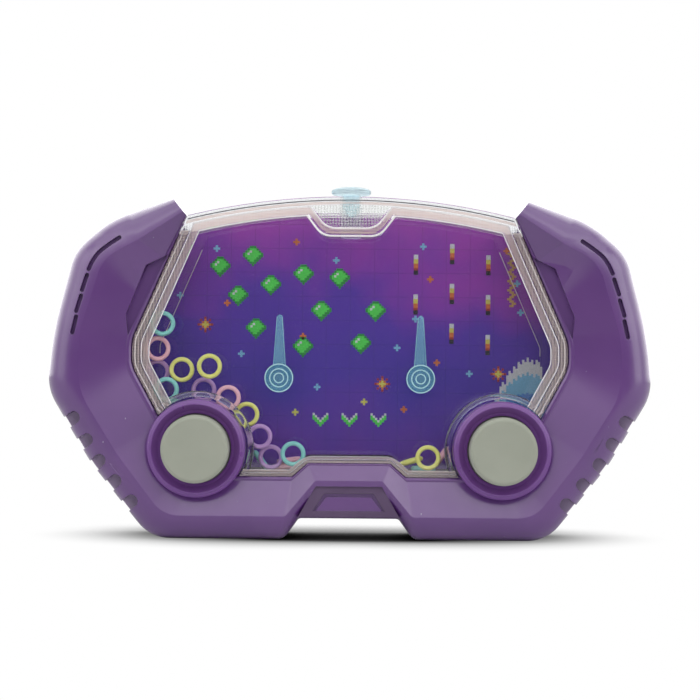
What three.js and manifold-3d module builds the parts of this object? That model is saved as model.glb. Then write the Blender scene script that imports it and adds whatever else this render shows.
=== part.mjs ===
// Handheld water game, in millimetres. +Z is up, the front faces -Y, and X = 0 is the middle.
// Depths are measured from the parting plane of the two housings, with the front negative.
import * as THREE from 'three';
import { mergeVertices } from 'three/addons/utils/BufferGeometryUtils.js';
import Module from 'manifold-3d';

const wasm = await Module();
wasm.setup();

// Body
const halfWidth = 82.5;
const bodyHeight = 92.5;
const ridgeDepth = 13;
const rearDepth = 12;
const flatDepth = 5;
const rearRound = 4;
const rearFlatDepth = 6;
const housingWall = 2;
const seamGap = 0.3;
const clearance = 0.3;
const overrun = 3;

// Right halves of the outlines: [x share of the half width, z share of the height,
// corner radius share of the height]
const edgeShares = [
  [0.163, 0.061, 0.016],
  [0.212, 0.000, 0.045],
  [0.650, 0.000, 0.125],
  [0.848, 0.220, 0.450],
  [0.9915, 0.434, 0.150],
  [0.973, 0.600, 0.900],
  [0.906, 0.836, 0.150],
  [0.788, 0.929, 0.320],
  [0.582, 0.992, 0.000],
];
const ridgeShares = [
  [0.108, 0.178, 0.013],
  [0.205, 0.074, 0.019],
  [0.600, 0.074, 0.100],
  [0.750, 0.250, 0.300],
  [0.876, 0.432, 0.200],
  [0.876, 0.584, 0.400],
  [0.800, 0.813, 0.120],
  [0.685, 0.867, 0.032],
  [0.542, 0.949, 0.000],
];
const lipShares = [
  [0.133, 0.225, 0.011],
  [0.185, 0.185, 0.011],
  [0.520, 0.185, 0.022],
  [0.613, 0.339, 0.022],
  [0.713, 0.505, 0.110],
  [0.712, 0.581, 0.110],
  [0.657, 0.693, 0.022],
  [0.599, 0.812, 0.022],
  [0.536, 0.942, 0.000],
];
const rearTopShares = [
  [0.100, 0.951, 0.300],
  [0.300, 0.934, 0.300],
  [0.541, 0.893, 0.005],
];
const arcSteps = 2;
const roundSteps = 32;
const bulbSteps = 20;
const domeSteps = 4;
const hubSteps = 16;
const postSteps = 10;
const screwSteps = 10;
const spikeSteps = 8;
const leastRoundShare = 0.25;
const bendReachShare = 0.45;

// The roll from the outer edge to the ridge: [share of the way inwards, share of the way forwards]
const rollShares = [[0.10, 0.45], [0.36, 0.80], [0.68, 0.95]];
const innerRollShares = [[0.48, 0.72]];

// Lip around the window
const lipDepth = 9.5;
const lipThickness = 2.2;

// Tank
const windowDepth = 10;
const windowThickness = 1.6;
const windowFit = 0.25;
const tankFlange = 0.8;
const flangeDepth = 7;
const flangeTopShare = 0.91;
const tankWall = 1.6;
const crownWall = 4.6;
const crownRise = 5;
const sideReach = 15;
const crownHalfShare = 0.513;
const crownSteps = 16;
const cavityBack = 2.4;
const backPlateThickness = 1.4;
const fillerFoot = 15.4;
const fillerShoulder = 24.8;
const fillerDrop = 10.7;

// Printed card
const cardThickness = 0.5;
const cardInset = 2.4;
const cardTopDrop = 4.3;

// Pumps
const pumpXShare = 0.494;
const pumpZShare = 0.268;
const wellRadius = 10.3;
const wellWall = 1.4;
const wellFloorFront = 4.2;
const wellFloor = 1.8;
const wellPortRadius = 2.6;
const wedgeTopReach = 12.2;
const wedgeTopRise = 4.2;
const floorPocket = 8.6;
const beadRadius = 14.1;
const beadHalfWidth = 0.55;
const beadHeight = 0.8;

// Collars
const collarRadius = 13.1;
const collarRim = 15;
const collarRimRadius = 12.1;
const collarDish = 13;
const collarShoulder = 11.9;
const collarRound = 0.7;
const collarSkirt = 8.5;

// Buttons
const buttonRadius = 9;
const buttonFace = 18.5;
const buttonFlange = 0.9;
const buttonFlangeThickness = 0.8;
const buttonWall = 1.3;
const buttonRound = 1.1;
const plungerRadius = 3.2;

// Rubber bulbs and their clamps
const bulbRadius = 7.6;
const bulbHeight = 5.4;
const bulbWall = 0.8;
const bulbFlangeThickness = 0.8;
const clampThickness = 0.9;

// Jet nozzles
const nozzleBore = 1.1;
const nozzleFlangeRadius = 4;
const nozzleFlangeThickness = 1.2;
const spoutRadius = 1.6;
const spoutReach = 9;

// Pegs
const pegXShare = 0.2335;
const pegHubZShare = 0.471;
const pegHubRadius = 3.9;
const pegHubDepth = 6;
const pegRimWidth = 0.8;
const pegGroove = 0.5;
const pegCoreRadius = 2.1;
const pegEar = 0.5;
const pegEarHeight = 2;
const spikeHeight = 17.3;
const spikeFoot = 3.3;
const spikeTip = 1.5;

// Filler stopper
const stopperCapRadius = 5.35;
const stopperCapHeight = 2.1;
const stopperNeckRadius = 2.15;
const stopperNeckHeight = 2.45;
const stopperPlugRadius = 2.5;
const stopperPlugLength = 3.75;
const stopperStand = 0.9;

// Loose rings
const ringDiameter = 6.8;
const ringSection = 1.2;
const ringGap = 0.4;
const ringSides = 5;
const ringSteps = 14;

// Screws and their posts
const screwHeadRadius = 2.5;
const screwHeadHeight = 1.8;
const screwShankRadius = 1.2;
const screwLength = 9;
const screwRecess = 0.9;
const screwSlotWidth = 0.7;
const screwSlotLength = 3;
const postRadius = 4.3;
const frontPostRadius = 3.2;
const postFloor = 3.4;
const screwShares = [[0.727, 0.822], [0.818, 0.476], [0.327, 0.086]];

// Grip notches
const notchCount = 5;
const notchStart = 10.6;
const notchPitch = 6.9;
const notchWidth = 3.4;
const notchDepth = 4.9;
const notchFloor = 2.6;
const notchWall = 1.4;

// Vents, side recesses and the bare plate
const ventWidth = 1.15;
const ventFloor = 10.9;
const ventPathShares = [
  [[0.748, 0.873], [0.781, 0.853], [0.813, 0.830], [0.832, 0.807], [0.846, 0.781]],
  [[0.851, 0.764], [0.867, 0.721]],
  [[0.870, 0.704], [0.885, 0.660]],
  [[0.885, 0.644], [0.897, 0.598]],
];
const recessShares = [[0.595, 0.826], [0.664, 0.795], [0.729, 0.652], [0.722, 0.592], [0.676, 0.676]];
const recessFloor = 8.8;
const recessBacking = 1.4;
const plateShares = [[0.164, 0.072], [0.107, 0.161]];
const plateRecessShares = [[0.116, 0.090], [0.079, 0.140]];
const plateDepth = 12.4;
const plateRecess = 0.9;
const padShares = [[0.112, 0.086], [0.073, 0.130]];
const padHeight = 0.5;

// Ribs that hold the card and the tank against the front housing
const ribThickness = 1.6;
const ribHalfShare = 0.5;
const ribShares = [0.33, 0.6, 0.87];

// Places that follow from the sizes above
const pumpX = pumpXShare * halfWidth;
const pumpZ = pumpZShare * bodyHeight;
const pegX = pegXShare * halfWidth;
const pegHubZ = pegHubZShare * bodyHeight;
const cavityFront = windowDepth - windowThickness;
const backPlateFront = cavityBack + clearance;
const backPlateRear = backPlateFront + backPlateThickness;
const cardFront = backPlateRear + clearance;
const cardRear = cardFront + cardThickness;
const wellFloorRear = wellFloorFront - wellFloor;
const wellOuter = wellRadius + wellWall;
const fillerDepth = (windowDepth - cavityBack) / 2;
const collarRear = windowDepth + clearance;

// Colours, from the photograph
const purple = { color: 0x68407e, roughness: 0.45, metalness: 0 };
const clear = { color: 0xdfe8ee, roughness: 0.05, metalness: 0, transparent: true, opacity: 0.35 };
const printed = { color: 0x4b2a8c, roughness: 0.6, metalness: 0 };
const sage = { color: 0x9ea294, roughness: 0.7, metalness: 0 };
const paleRubber = { color: 0xcfe0e6, roughness: 0.6, metalness: 0 };
const darkRubber = { color: 0x3c3c40, roughness: 0.8, metalness: 0 };
const skyClear = { color: 0x8fc0dc, roughness: 0.1, metalness: 0, transparent: true, opacity: 0.6 };
const whitePlastic = { color: 0xe6e8ea, roughness: 0.5, metalness: 0 };
const steel = { color: 0x9a9ea4, roughness: 0.35, metalness: 0.9 };
const cyan = { color: 0x8ccdc8, roughness: 0.45, metalness: 0 };
const pink = { color: 0xe6b4c3, roughness: 0.45, metalness: 0 };
const lilac = { color: 0xb48cc8, roughness: 0.45, metalness: 0 };
const yellow = { color: 0xe4e482, roughness: 0.45, metalness: 0 };

const game = new THREE.Group();
const middle = new THREE.Group();
middle.position.y = (buttonFace - rearDepth) / 2;
game.add(middle);

// Solids
function signedVolume(positions, triangles) {
  const corner = (i) => new THREE.Vector3().fromArray(positions, 3 * i);
  let sum = 0;
  for (let t = 0; t < triangles.length; t += 3) {
    const a = corner(triangles[t]);
    const b = corner(triangles[t + 1]);
    const c = corner(triangles[t + 2]);
    sum += a.dot(b.cross(c));
  }
  return sum;
}

function toSolid(geometry) {
  const bare = geometry.clone();
  bare.deleteAttribute('normal');
  bare.deleteAttribute('uv');
  const welded = mergeVertices(bare);
  const vertProperties = new Float32Array(welded.attributes.position.array);
  const triVerts = new Uint32Array(welded.index.array);
  if (signedVolume(vertProperties, triVerts) < 0) {
    for (let t = 0; t < triVerts.length; t += 3) {
      [triVerts[t], triVerts[t + 1]] = [triVerts[t + 1], triVerts[t]];
    }
  }
  return new wasm.Manifold(new wasm.Mesh({ numProp: 3, vertProperties, triVerts }));
}

function toGeometry(solid) {
  const mesh = solid.getMesh();
  const geometry = new THREE.BufferGeometry();
  geometry.setAttribute('position', new THREE.BufferAttribute(mesh.vertProperties, mesh.numProp));
  geometry.setIndex(new THREE.BufferAttribute(mesh.triVerts, 1));
  geometry.computeVertexNormals();
  return geometry;
}

const joinAll = (solids) => solids.reduce((sum, solid) => sum.add(solid));
const cutAll = (solid, cutters) => cutters.reduce((left, cutter) => left.subtract(cutter), solid);

function place(name, solid, look) {
  const mesh = new THREE.Mesh(toGeometry(solid), new THREE.MeshStandardMaterial(look));
  mesh.name = name;
  middle.add(mesh);
  return mesh;
}

// A solid from loops of the same number of points, closed by a flat cap at each end
function loft(loops, flatten) {
  const count = loops[0].length;
  const triangles = [];
  for (let ring = 0; ring + 1 < loops.length; ring += 1) {
    for (let i = 0; i < count; i += 1) {
      const a = ring * count + i;
      const b = ring * count + (i + 1) % count;
      triangles.push(a, b, b + count, a, b + count, a + count);
    }
  }
  const cap = (ring, reversed) => {
    const contour = loops[ring].map((point) => new THREE.Vector2(...flatten(point)));
    const turn = Math.sign(THREE.ShapeUtils.area(contour));
    THREE.ShapeUtils.triangulateShape(contour, []).forEach(([a, b, c]) => {
      const sameTurn = Math.sign(THREE.ShapeUtils.area([contour[a], contour[b], contour[c]])) === turn;
      const ordered = sameTurn !== reversed ? [a, b, c] : [c, b, a];
      triangles.push(...ordered.map((i) => i + ring * count));
    });
  };
  cap(0, true);
  cap(loops.length - 1, false);
  const geometry = new THREE.BufferGeometry();
  geometry.setAttribute('position', new THREE.Float32BufferAttribute(loops.flat(2), 3));
  geometry.setIndex(triangles);
  return toSolid(geometry);
}

// A flat shape in X and Z, given as points, between two depths
function slab(points, yFront, yBack) {
  const shape = new THREE.Shape(points.map(([x, z]) => new THREE.Vector2(x, z)));
  const geometry = new THREE.ExtrudeGeometry(shape, { depth: yBack - yFront, bevelEnabled: false });
  geometry.rotateX(Math.PI / 2);
  geometry.translate(0, yBack, 0);
  return toSolid(geometry);
}

// A solid turned about a line along Y, from a closed profile of [radius, depth]
function turned(profile, x, z, steps) {
  const points = profile.map(([radius, y]) => new THREE.Vector2(radius, y));
  if (profile[0][0] > 0) {
    points.push(points[0].clone());
  }
  const geometry = new THREE.LatheGeometry(points, steps);
  geometry.translate(x, 0, z);
  return toSolid(geometry);
}

function rod(radius, yFront, yBack, x, z, steps) {
  return turned([[0, yFront], [radius, yFront], [radius, yBack], [0, yBack]], x, z, steps);
}

// The same about a vertical line, from a profile of [radius, z]
function upright(profile, x, y, steps) {
  const points = profile.map(([radius, z]) => new THREE.Vector2(radius, z));
  const geometry = new THREE.LatheGeometry(points, steps);
  geometry.rotateX(Math.PI / 2);
  geometry.translate(x, y, 0);
  return toSolid(geometry);
}

function block(x0, x1, y0, y1, z0, z1) {
  return slab([[x0, z0], [x1, z0], [x1, z1], [x0, z1]], y0, y1);
}

// Outlines: a list of corners, anticlockwise as seen from the front
const corner = (x, z, r) => ({ x, z, r });

function sized(table) {
  return table.map(([x, z, r]) => corner(x * halfWidth, z * bodyHeight, r * bodyHeight));
}

function withMirror(right) {
  const left = right.map((c) => corner(-c.x, c.z, c.r)).reverse();
  return [...left, ...right];
}

function direction(from, to) {
  const length = Math.hypot(to.x - from.x, to.z - from.z);
  return { x: (to.x - from.x) / length, z: (to.z - from.z) / length, length };
}

// Moves each side of an outline outwards by a distance; an open one's ends grow by endReach
function offsetOutline(corners, distance, closed, endReach) {
  const count = corners.length;
  const side = (i) => {
    const from = corners[(i + count) % count];
    const along = direction(from, corners[(i + 1) % count]);
    return { x: from.x + along.z * distance, z: from.z - along.x * distance, along };
  };
  return corners.map((c, i) => {
    const before = side(i - 1);
    const after = side(i);
    if (!closed && i === 0) {
      return corner(after.x - after.along.x * endReach, after.z - after.along.z * endReach, 0);
    }
    if (!closed && i === count - 1) {
      const reach = before.along.length + endReach;
      return corner(before.x + before.along.x * reach, before.z + before.along.z * reach, 0);
    }
    const turn = before.along.x * after.along.z - before.along.z * after.along.x;
    const gapX = after.x - before.x;
    const gapZ = after.z - before.z;
    const way = (gapX * after.along.z - gapZ * after.along.x) / turn;
    const radius = c.r === 0 ? 0 : Math.max(c.r + Math.sign(turn) * distance, leastRoundShare * c.r);
    return corner(before.x + before.along.x * way, before.z + before.along.z * way, radius);
  });
}

// Points along an outline, with the same number at every rounded corner
function rounded(corners, closed) {
  const count = corners.length;
  const points = [];
  corners.forEach((c, i) => {
    const isEnd = !closed && (i === 0 || i === count - 1);
    if (isEnd || c.r === 0) {
      points.push([c.x, c.z]);
      return;
    }
    const back = direction(c, corners[(i + count - 1) % count]);
    const ahead = direction(c, corners[(i + 1) % count]);
    const halfTurn = (Math.PI - Math.acos(back.x * ahead.x + back.z * ahead.z)) / 2;
    const reach = bendReachShare * Math.min(back.length, ahead.length);
    const cut = Math.min(c.r * Math.tan(halfTurn), reach);
    const bend = new THREE.QuadraticBezierCurve(
      new THREE.Vector2(c.x + back.x * cut, c.z + back.z * cut),
      new THREE.Vector2(c.x, c.z),
      new THREE.Vector2(c.x + ahead.x * cut, c.z + ahead.z * cut),
    );
    bend.getPoints(arcSteps).forEach((point) => points.push([point.x, point.y]));
  });
  return points;
}

const between = (a, b, share) => [a[0] + (b[0] - a[0]) * share, a[1] + (b[1] - a[1]) * share];

function towards(a, b, distance) {
  return between(a, b, distance / Math.hypot(b[0] - a[0], b[1] - a[1]));
}

const edgeCorners = withMirror(sized(edgeShares));
const ridgeCorners = withMirror(sized(ridgeShares));
const lipCorners = withMirror(sized(lipShares));
const [, floorCorner, , , wallCorner] = sized(lipShares);
const bothSides = [-1, 1];
const sideName = (side) => (side < 0 ? 'left' : 'right');
const screwPlaces = bothSides.flatMap((side) => (
  screwShares.map(([x, z]) => [side * x * halfWidth, z * bodyHeight])
));

// A slab of the tank's outline: its sides moved outwards by a distance, its crown lowered by a drop
function tankRegion(sideOffset, crownDrop, yFront, yBack) {
  const sides = rounded(offsetOutline(lipCorners, sideOffset, false, sideReach), false);
  const chord = crownHalfShare * halfWidth;
  const crownRadius = (chord * chord + crownRise * crownRise) / (2 * crownRise);
  const halfTurn = Math.asin(halfWidth / crownRadius);
  const crown = [[halfWidth, -overrun]];
  for (let step = 0; step <= crownSteps; step += 1) {
    const angle = halfTurn * (1 - 2 * step / crownSteps);
    const x = (crownRadius - crownDrop) * Math.sin(angle);
    const z = bodyHeight - crownRadius + (crownRadius - crownDrop) * Math.cos(angle);
    crown.push([x, z]);
  }
  crown.push([-halfWidth, -overrun]);
  return slab(sides, yFront, yBack).intersect(slab(crown, yFront, yBack));
}

// The flange behind the lip, which stops below the wings' end walls
function tankFlangeSlab(yFront, yBack) {
  const below = block(-halfWidth, halfWidth, yFront, yBack, 0, flangeTopShare * bodyHeight);
  return tankRegion(tankFlange, 0, yFront, yBack).intersect(below);
}

function fillerBlock(yFront, yBack) {
  const top = bodyHeight - crownWall;
  const foot = bodyHeight - fillerDrop;
  return slab([
    [-fillerFoot / 2, foot],
    [fillerFoot / 2, foot],
    [fillerShoulder / 2, top],
    [fillerShoulder / 2, bodyHeight],
    [-fillerShoulder / 2, bodyHeight],
    [-fillerShoulder / 2, top],
  ], yFront, yBack);
}

// Grip notches: U-shaped, square to the outer edge
function notchShapes(side, grow) {
  const corners = sized(edgeShares);
  const widest = corners.reduce((best, c, i) => (c.x > corners[best].x ? i : best), 0);
  const shapes = [];
  for (let n = 0; n < notchCount; n += 1) {
    let left = notchStart + n * notchPitch;
    let i = widest;
    while (i > 1 && left > direction(corners[i], corners[i - 1]).length) {
      left -= direction(corners[i], corners[i - 1]).length;
      i -= 1;
    }
    const along = direction(corners[i], corners[i - 1]);
    const mouth = [corners[i].x + along.x * left, corners[i].z + along.z * left];
    const inwards = [along.z, -along.x];
    const radius = notchWidth / 2 + grow;
    const outline = [[-radius, -overrun]];
    const turns = 2 * arcSteps;
    for (let step = 0; step <= turns; step += 1) {
      const angle = Math.PI * (1 - step / turns);
      outline.push([radius * Math.cos(angle), notchDepth - notchWidth / 2 + radius * Math.sin(angle)]);
    }
    outline.push([radius, -overrun]);
    shapes.push(outline.map(([across, deep]) => [
      side * (mouth[0] + along.x * across + inwards[0] * deep),
      mouth[1] + along.z * across + inwards[1] * deep,
    ]));
  }
  return shapes;
}

// A strip of even width along a path in X and Z
function strip(path, width) {
  const sides = bothSides.map((side) => path.map((point, i) => {
    const before = path[Math.max(i - 1, 0)];
    const after = path[Math.min(i + 1, path.length - 1)];
    const length = Math.hypot(after[0] - before[0], after[1] - before[1]);
    const across = [(after[1] - before[1]) / length, (before[0] - after[0]) / length];
    return [point[0] + side * across[0] * width / 2, point[1] + side * across[1] * width / 2];
  }));
  return [...sides[0], ...sides[1].reverse()];
}

function pumpRods(radius, yFront, yBack, steps) {
  return bothSides.map((side) => rod(radius, yFront, yBack, side * pumpX, pumpZ, steps));
}

const sidePoint = (side) => ([x, z]) => [side * x * halfWidth, z * bodyHeight];

function mirroredPlate([[footX, footZ], [topX, topZ]]) {
  return [[-footX, footZ], [footX, footZ], [topX, topZ], [-topX, topZ]].map(sidePoint(1));
}

// Front housing
function frontForm() {
  const edge = rounded(edgeCorners, false);
  const ridge = rounded(ridgeCorners, false);
  const lip = rounded(lipCorners, false);
  const rise = ridgeDepth - flatDepth;
  const loops = edge.map((outer, i) => {
    const roll = rollShares.map(([inwards, forwards]) => {
      const [x, z] = between(outer, ridge[i], inwards);
      return [x, -(flatDepth + rise * forwards), z];
    });
    return [
      [outer[0], -seamGap / 2, outer[1]],
      [outer[0], -flatDepth, outer[1]],
      ...roll,
      [ridge[i][0], -ridgeDepth, ridge[i][1]],
      [lip[i][0], -lipDepth, lip[i][1]],
      [lip[i][0], -seamGap / 2, lip[i][1]],
    ];
  });
  return loft(loops, ([, y, z]) => [z, y]);
}

// The end stations stand one wall inside the wings' end faces
function shortened(points, distance) {
  const last = points.length - 1;
  return points.map((point, i) => {
    if (i === 0) {
      return towards(point, points[1], distance);
    }
    return i === last ? towards(point, points[last - 1], distance) : point;
  });
}

function frontVoid() {
  const edge = shortened(rounded(edgeCorners, false), housingWall);
  const ridge = shortened(rounded(ridgeCorners, false), housingWall);
  const lip = shortened(rounded(lipCorners, false), housingWall);
  const rise = ridgeDepth - housingWall - flatDepth;
  const loops = edge.map((outer, i) => {
    const wall = towards(outer, ridge[i], housingWall);
    const roll = innerRollShares.map(([inwards, forwards]) => {
      const [x, z] = between(wall, ridge[i], inwards);
      return [x, -(flatDepth + rise * forwards), z];
    });
    const past = towards(lip[i], ridge[i], -clearance);
    return [
      [wall[0], overrun, wall[1]],
      [wall[0], -flatDepth, wall[1]],
      ...roll,
      [ridge[i][0], housingWall - ridgeDepth, ridge[i][1]],
      [lip[i][0], lipThickness - lipDepth, lip[i][1]],
      [past[0], lipThickness - lipDepth, past[1]],
      [past[0], overrun, past[1]],
    ];
  });
  return loft(loops, ([, y, z]) => [z, y]);
}

function collar(side) {
  const hole = buttonRadius + clearance;
  const shoulder = buttonRadius + buttonFlange + clearance;
  return turned([
    [hole, -collarShoulder],
    [hole, -collarDish],
    [collarRimRadius - collarRound, -collarRim],
    [collarRimRadius, -collarRim],
    [(collarRimRadius + collarRadius) / 2, collarRound / 3 - collarRim],
    [collarRadius, collarRound * 2 - collarRim],
    [collarRadius, -collarSkirt],
    [shoulder, -collarSkirt],
    [shoulder, -collarShoulder],
  ], side * pumpX, pumpZ, roundSteps);
}

function frontHousing() {
  const form = frontForm();
  const shell = form.subtract(frontVoid());
  const front = -(ridgeDepth + overrun);
  const posts = screwPlaces.map(([x, z]) => rod(frontPostRadius, front, -seamGap / 2, x, z, postSteps));
  const notchBacks = bothSides.flatMap((side) => (
    notchShapes(side, notchWall).map((shape) => slab(shape, front, -seamGap / 2))
  ));
  const recesses = bothSides.map((side) => recessShares.map(sidePoint(side)));
  const recessBacks = recesses.map((shape) => slab(shape, front, recessBacking - recessFloor));
  const fillings = joinAll([...posts, ...notchBacks, ...recessBacks]).intersect(form);
  const plate = slab(mirroredPlate(plateShares), -plateDepth, -flatDepth);
  const plateFloor = plateRecess - plateDepth;
  const pad = slab(mirroredPlate(padShares), plateFloor - padHeight, plateFloor + overrun);
  const solid = joinAll([shell, fillings, plate, ...bothSides.map(collar)]);
  return cutAll(solid, [
    tankRegion(0, -overrun, -collarRear, overrun),
    ...pumpRods(wellOuter + clearance, -collarRear, overrun, roundSteps),
    ...pumpRods(buttonRadius + clearance, front, 0, roundSteps),
    ...pumpRods(buttonRadius + buttonFlange + clearance, -collarShoulder, 0, roundSteps),
    ...screwPlaces.map(([x, z]) => (
      rod(screwShankRadius + clearance, -(screwLength - postFloor + clearance), 0, x, z, postSteps)
    )),
    ...bothSides.flatMap((side) => notchShapes(side, 0).map((shape) => slab(shape, front, -notchFloor))),
    ...bothSides.flatMap((side) => (
      ventPathShares.map((path) => slab(strip(path.map(sidePoint(side)), ventWidth), front, -ventFloor))
    )),
    ...recesses.map((shape) => slab(shape, front, -recessFloor)),
    slab(mirroredPlate(plateShares), front, -plateDepth),
    slab(mirroredPlate(plateRecessShares), front, plateFloor).subtract(pad),
  ]);
}
place('front_housing', frontHousing(), purple);

// Rear housing
function rearForm(insets) {
  const closed = [...edgeCorners, ...withMirror(sized(rearTopShares)).reverse()];
  const loops = insets.map(([inset, y]) => (
    rounded(offsetOutline(closed, -inset, true, 0), true).map(([x, z]) => [x, y, z])
  ));
  return loft(loops, ([x, , z]) => [x, z]);
}

function rearHousing() {
  const form = rearForm([
    [0, seamGap / 2],
    [0, rearFlatDepth],
    [rearRound / 3, (rearFlatDepth + 2 * rearDepth) / 3],
    [rearRound, rearDepth],
  ]);
  const tray = rearForm([
    [housingWall, -overrun],
    [housingWall, rearFlatDepth],
    [housingWall + rearRound / 2, rearDepth - housingWall],
  ]);
  const posts = screwPlaces.map(([x, z]) => rod(postRadius, seamGap / 2, rearDepth, x, z, postSteps));
  const notchBacks = bothSides.flatMap((side) => (
    notchShapes(side, notchWall).map((shape) => slab(shape, seamGap / 2, rearDepth))
  ));
  const ribReach = ribHalfShare * halfWidth;
  const ribs = ribShares.map((share) => block(
    -ribReach,
    ribReach,
    cardRear + clearance,
    rearDepth - housingWall / 2,
    share * bodyHeight - ribThickness / 2,
    share * bodyHeight + ribThickness / 2,
  ));
  const fillings = joinAll([...posts, ...notchBacks, ...ribs]).intersect(form);
  const behind = rearDepth + overrun;
  const tankWidth = tankFlange + clearance;
  return cutAll(form.subtract(tray).add(fillings), [
    tankRegion(tankWidth, -overrun, -overrun, cardRear + clearance),
    ...screwPlaces.map(([x, z]) => rod(screwHeadRadius + clearance, postFloor, behind, x, z, postSteps)),
    ...screwPlaces.map(([x, z]) => rod(screwShankRadius + clearance, -overrun, behind, x, z, postSteps)),
    ...bothSides.flatMap((side) => notchShapes(side, 0).map((shape) => slab(shape, notchFloor, behind))),
  ]);
}
place('rear_housing', rearHousing(), purple);

// Tank
function tankFront() {
  const envelope = joinAll([
    tankRegion(-windowFit, 0, -windowDepth, cavityBack),
    tankFlangeSlab(-flangeDepth, cavityBack),
    ...pumpRods(wellOuter, -windowDepth, cavityBack, roundSteps),
  ]);
  const hollow = tankRegion(tankFlange - tankWall, crownWall, -cavityFront, cavityBack + overrun);
  const wedgeFoot = floorCorner.x + floorPocket;
  const wedges = bothSides.map((side) => slab([
    [side * (pumpX - wedgeTopReach), pumpZ + wedgeTopRise],
    [side * wedgeFoot, 0],
    [side * pumpX, 0],
    [side * pumpX, pumpZ + wedgeTopRise],
  ], -windowDepth, cavityBack));
  const fillings = joinAll([
    ...pumpRods(wellOuter, -windowDepth, -wellFloorRear, roundSteps),
    ...wedges,
    fillerBlock(-windowDepth, cavityBack),
  ]).intersect(envelope);
  const beadZone = tankRegion(-windowFit, 0, -(windowDepth + beadHeight), -cavityFront);
  const beads = joinAll(bothSides.map((side) => turned([
    [beadRadius - beadHalfWidth, -(windowDepth - windowThickness / 2)],
    [beadRadius - beadHalfWidth, -(windowDepth + beadHeight / 2)],
    [beadRadius, -(windowDepth + beadHeight)],
    [beadRadius + beadHalfWidth, -(windowDepth + beadHeight / 2)],
    [beadRadius + beadHalfWidth, -(windowDepth - windowThickness / 2)],
  ], side * pumpX, pumpZ, roundSteps))).intersect(beadZone);
  const portRadius = stopperPlugRadius + clearance;
  const portFoot = bodyHeight - fillerDrop - overrun;
  const portTop = bodyHeight + overrun;
  const port = [[0, portFoot], [portRadius, portFoot], [portRadius, portTop], [0, portTop]];
  return cutAll(joinAll([envelope.subtract(hollow), fillings, beads]), [
    ...pumpRods(wellRadius, -(windowDepth + overrun), -wellFloorFront, roundSteps),
    ...pumpRods(wellRadius, -wellFloorRear, cavityBack + overrun, roundSteps),
    ...pumpRods(wellPortRadius, -windowDepth, cavityBack, postSteps),
    upright(port, 0, -fillerDepth, postSteps),
  ]);
}
place('tank_front', tankFront(), clear);

function tankBack() {
  return joinAll([
    tankRegion(-windowFit, 0, backPlateFront, backPlateRear),
    tankFlangeSlab(backPlateFront, backPlateRear),
    ...pumpRods(wellOuter, backPlateFront, backPlateRear, roundSteps),
  ]);
}
place('tank_back', tankBack(), clear);

function backgroundCard() {
  return tankRegion(tankFlange - cardInset, cardTopDrop, cardFront, cardRear);
}
place('background_card', backgroundCard(), printed);

// Pumps
const bulbBase = wellFloorFront + clearance;
const bulbTop = bulbBase + bulbHeight;

function button(side) {
  const inner = buttonRadius - buttonWall;
  const roof = buttonFace - buttonWall;
  const flangeFront = collarShoulder - clearance;
  return turned([
    [0, -buttonFace],
    [buttonRadius - buttonRound, -buttonFace],
    [buttonRadius - buttonRound / 3, buttonRound / 3 - buttonFace],
    [buttonRadius, buttonRound - buttonFace],
    [buttonRadius, -flangeFront],
    [buttonRadius + buttonFlange, -flangeFront],
    [buttonRadius + buttonFlange, buttonFlangeThickness - flangeFront],
    [inner, buttonFlangeThickness - flangeFront],
    [inner, -roof],
    [plungerRadius, -roof],
    [plungerRadius, -(bulbTop + clearance)],
    [0, -(bulbTop + clearance)],
  ], side * pumpX, pumpZ, roundSteps);
}

function bulb(side) {
  const flangeRadius = wellRadius - clearance;
  const flangeTop = bulbBase + bulbFlangeThickness;
  const dome = (radius, top, from) => {
    const points = [];
    for (let step = 0; step < domeSteps; step += 1) {
      const angle = Math.PI / 2 * step / domeSteps;
      points.push([radius * Math.sin(angle), -(from + (top - from) * Math.cos(angle))]);
    }
    points.push([radius, -from]);
    return points;
  };
  return turned([
    ...dome(bulbRadius, bulbTop, flangeTop),
    [flangeRadius, -flangeTop],
    [flangeRadius, -bulbBase],
    [bulbRadius - bulbWall, -bulbBase],
    ...dome(bulbRadius - bulbWall, bulbTop - bulbWall, flangeTop).reverse(),
  ], side * pumpX, pumpZ, bulbSteps);
}

function bulbClamp(side) {
  const rear = bulbBase + bulbFlangeThickness + clearance;
  return turned([
    [bulbRadius + clearance, -rear],
    [bulbRadius + clearance, -(rear + clampThickness)],
    [wellRadius - clearance, -(rear + clampThickness)],
    [wellRadius - clearance, -rear],
  ], side * pumpX, pumpZ, bulbSteps);
}

// A flanged bush in the well's floor, with a spout that turns the jet upwards
function jetNozzle(side) {
  const x = side * pumpX;
  const shank = wellPortRadius - clearance;
  const flangeFront = wellFloorRear - clearance;
  const flangeRear = flangeFront - nozzleFlangeThickness;
  const spoutY = (cavityBack - flangeFront) / 2;
  const bush = turned([
    [0, -(wellFloorFront - clearance)],
    [shank, -(wellFloorFront - clearance)],
    [shank, -flangeFront],
    [nozzleFlangeRadius, -flangeFront],
    [nozzleFlangeRadius, -flangeRear],
    [0, -flangeRear],
  ], x, pumpZ, postSteps);
  const foot = pumpZ - spoutRadius;
  const top = pumpZ + spoutReach;
  const spoutProfile = [[0, foot], [spoutRadius, foot], [spoutRadius, top], [0, top]];
  const spout = upright(spoutProfile, x, spoutY, postSteps);
  const bore = rod(nozzleBore, -(wellFloorFront + overrun), spoutY, x, pumpZ, postSteps);
  const lift = upright([[0, pumpZ], [nozzleBore, pumpZ], [nozzleBore, top + overrun], [0, top + overrun]],
    x, spoutY, postSteps);
  return cutAll(bush.add(spout), [bore, lift]);
}

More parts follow.
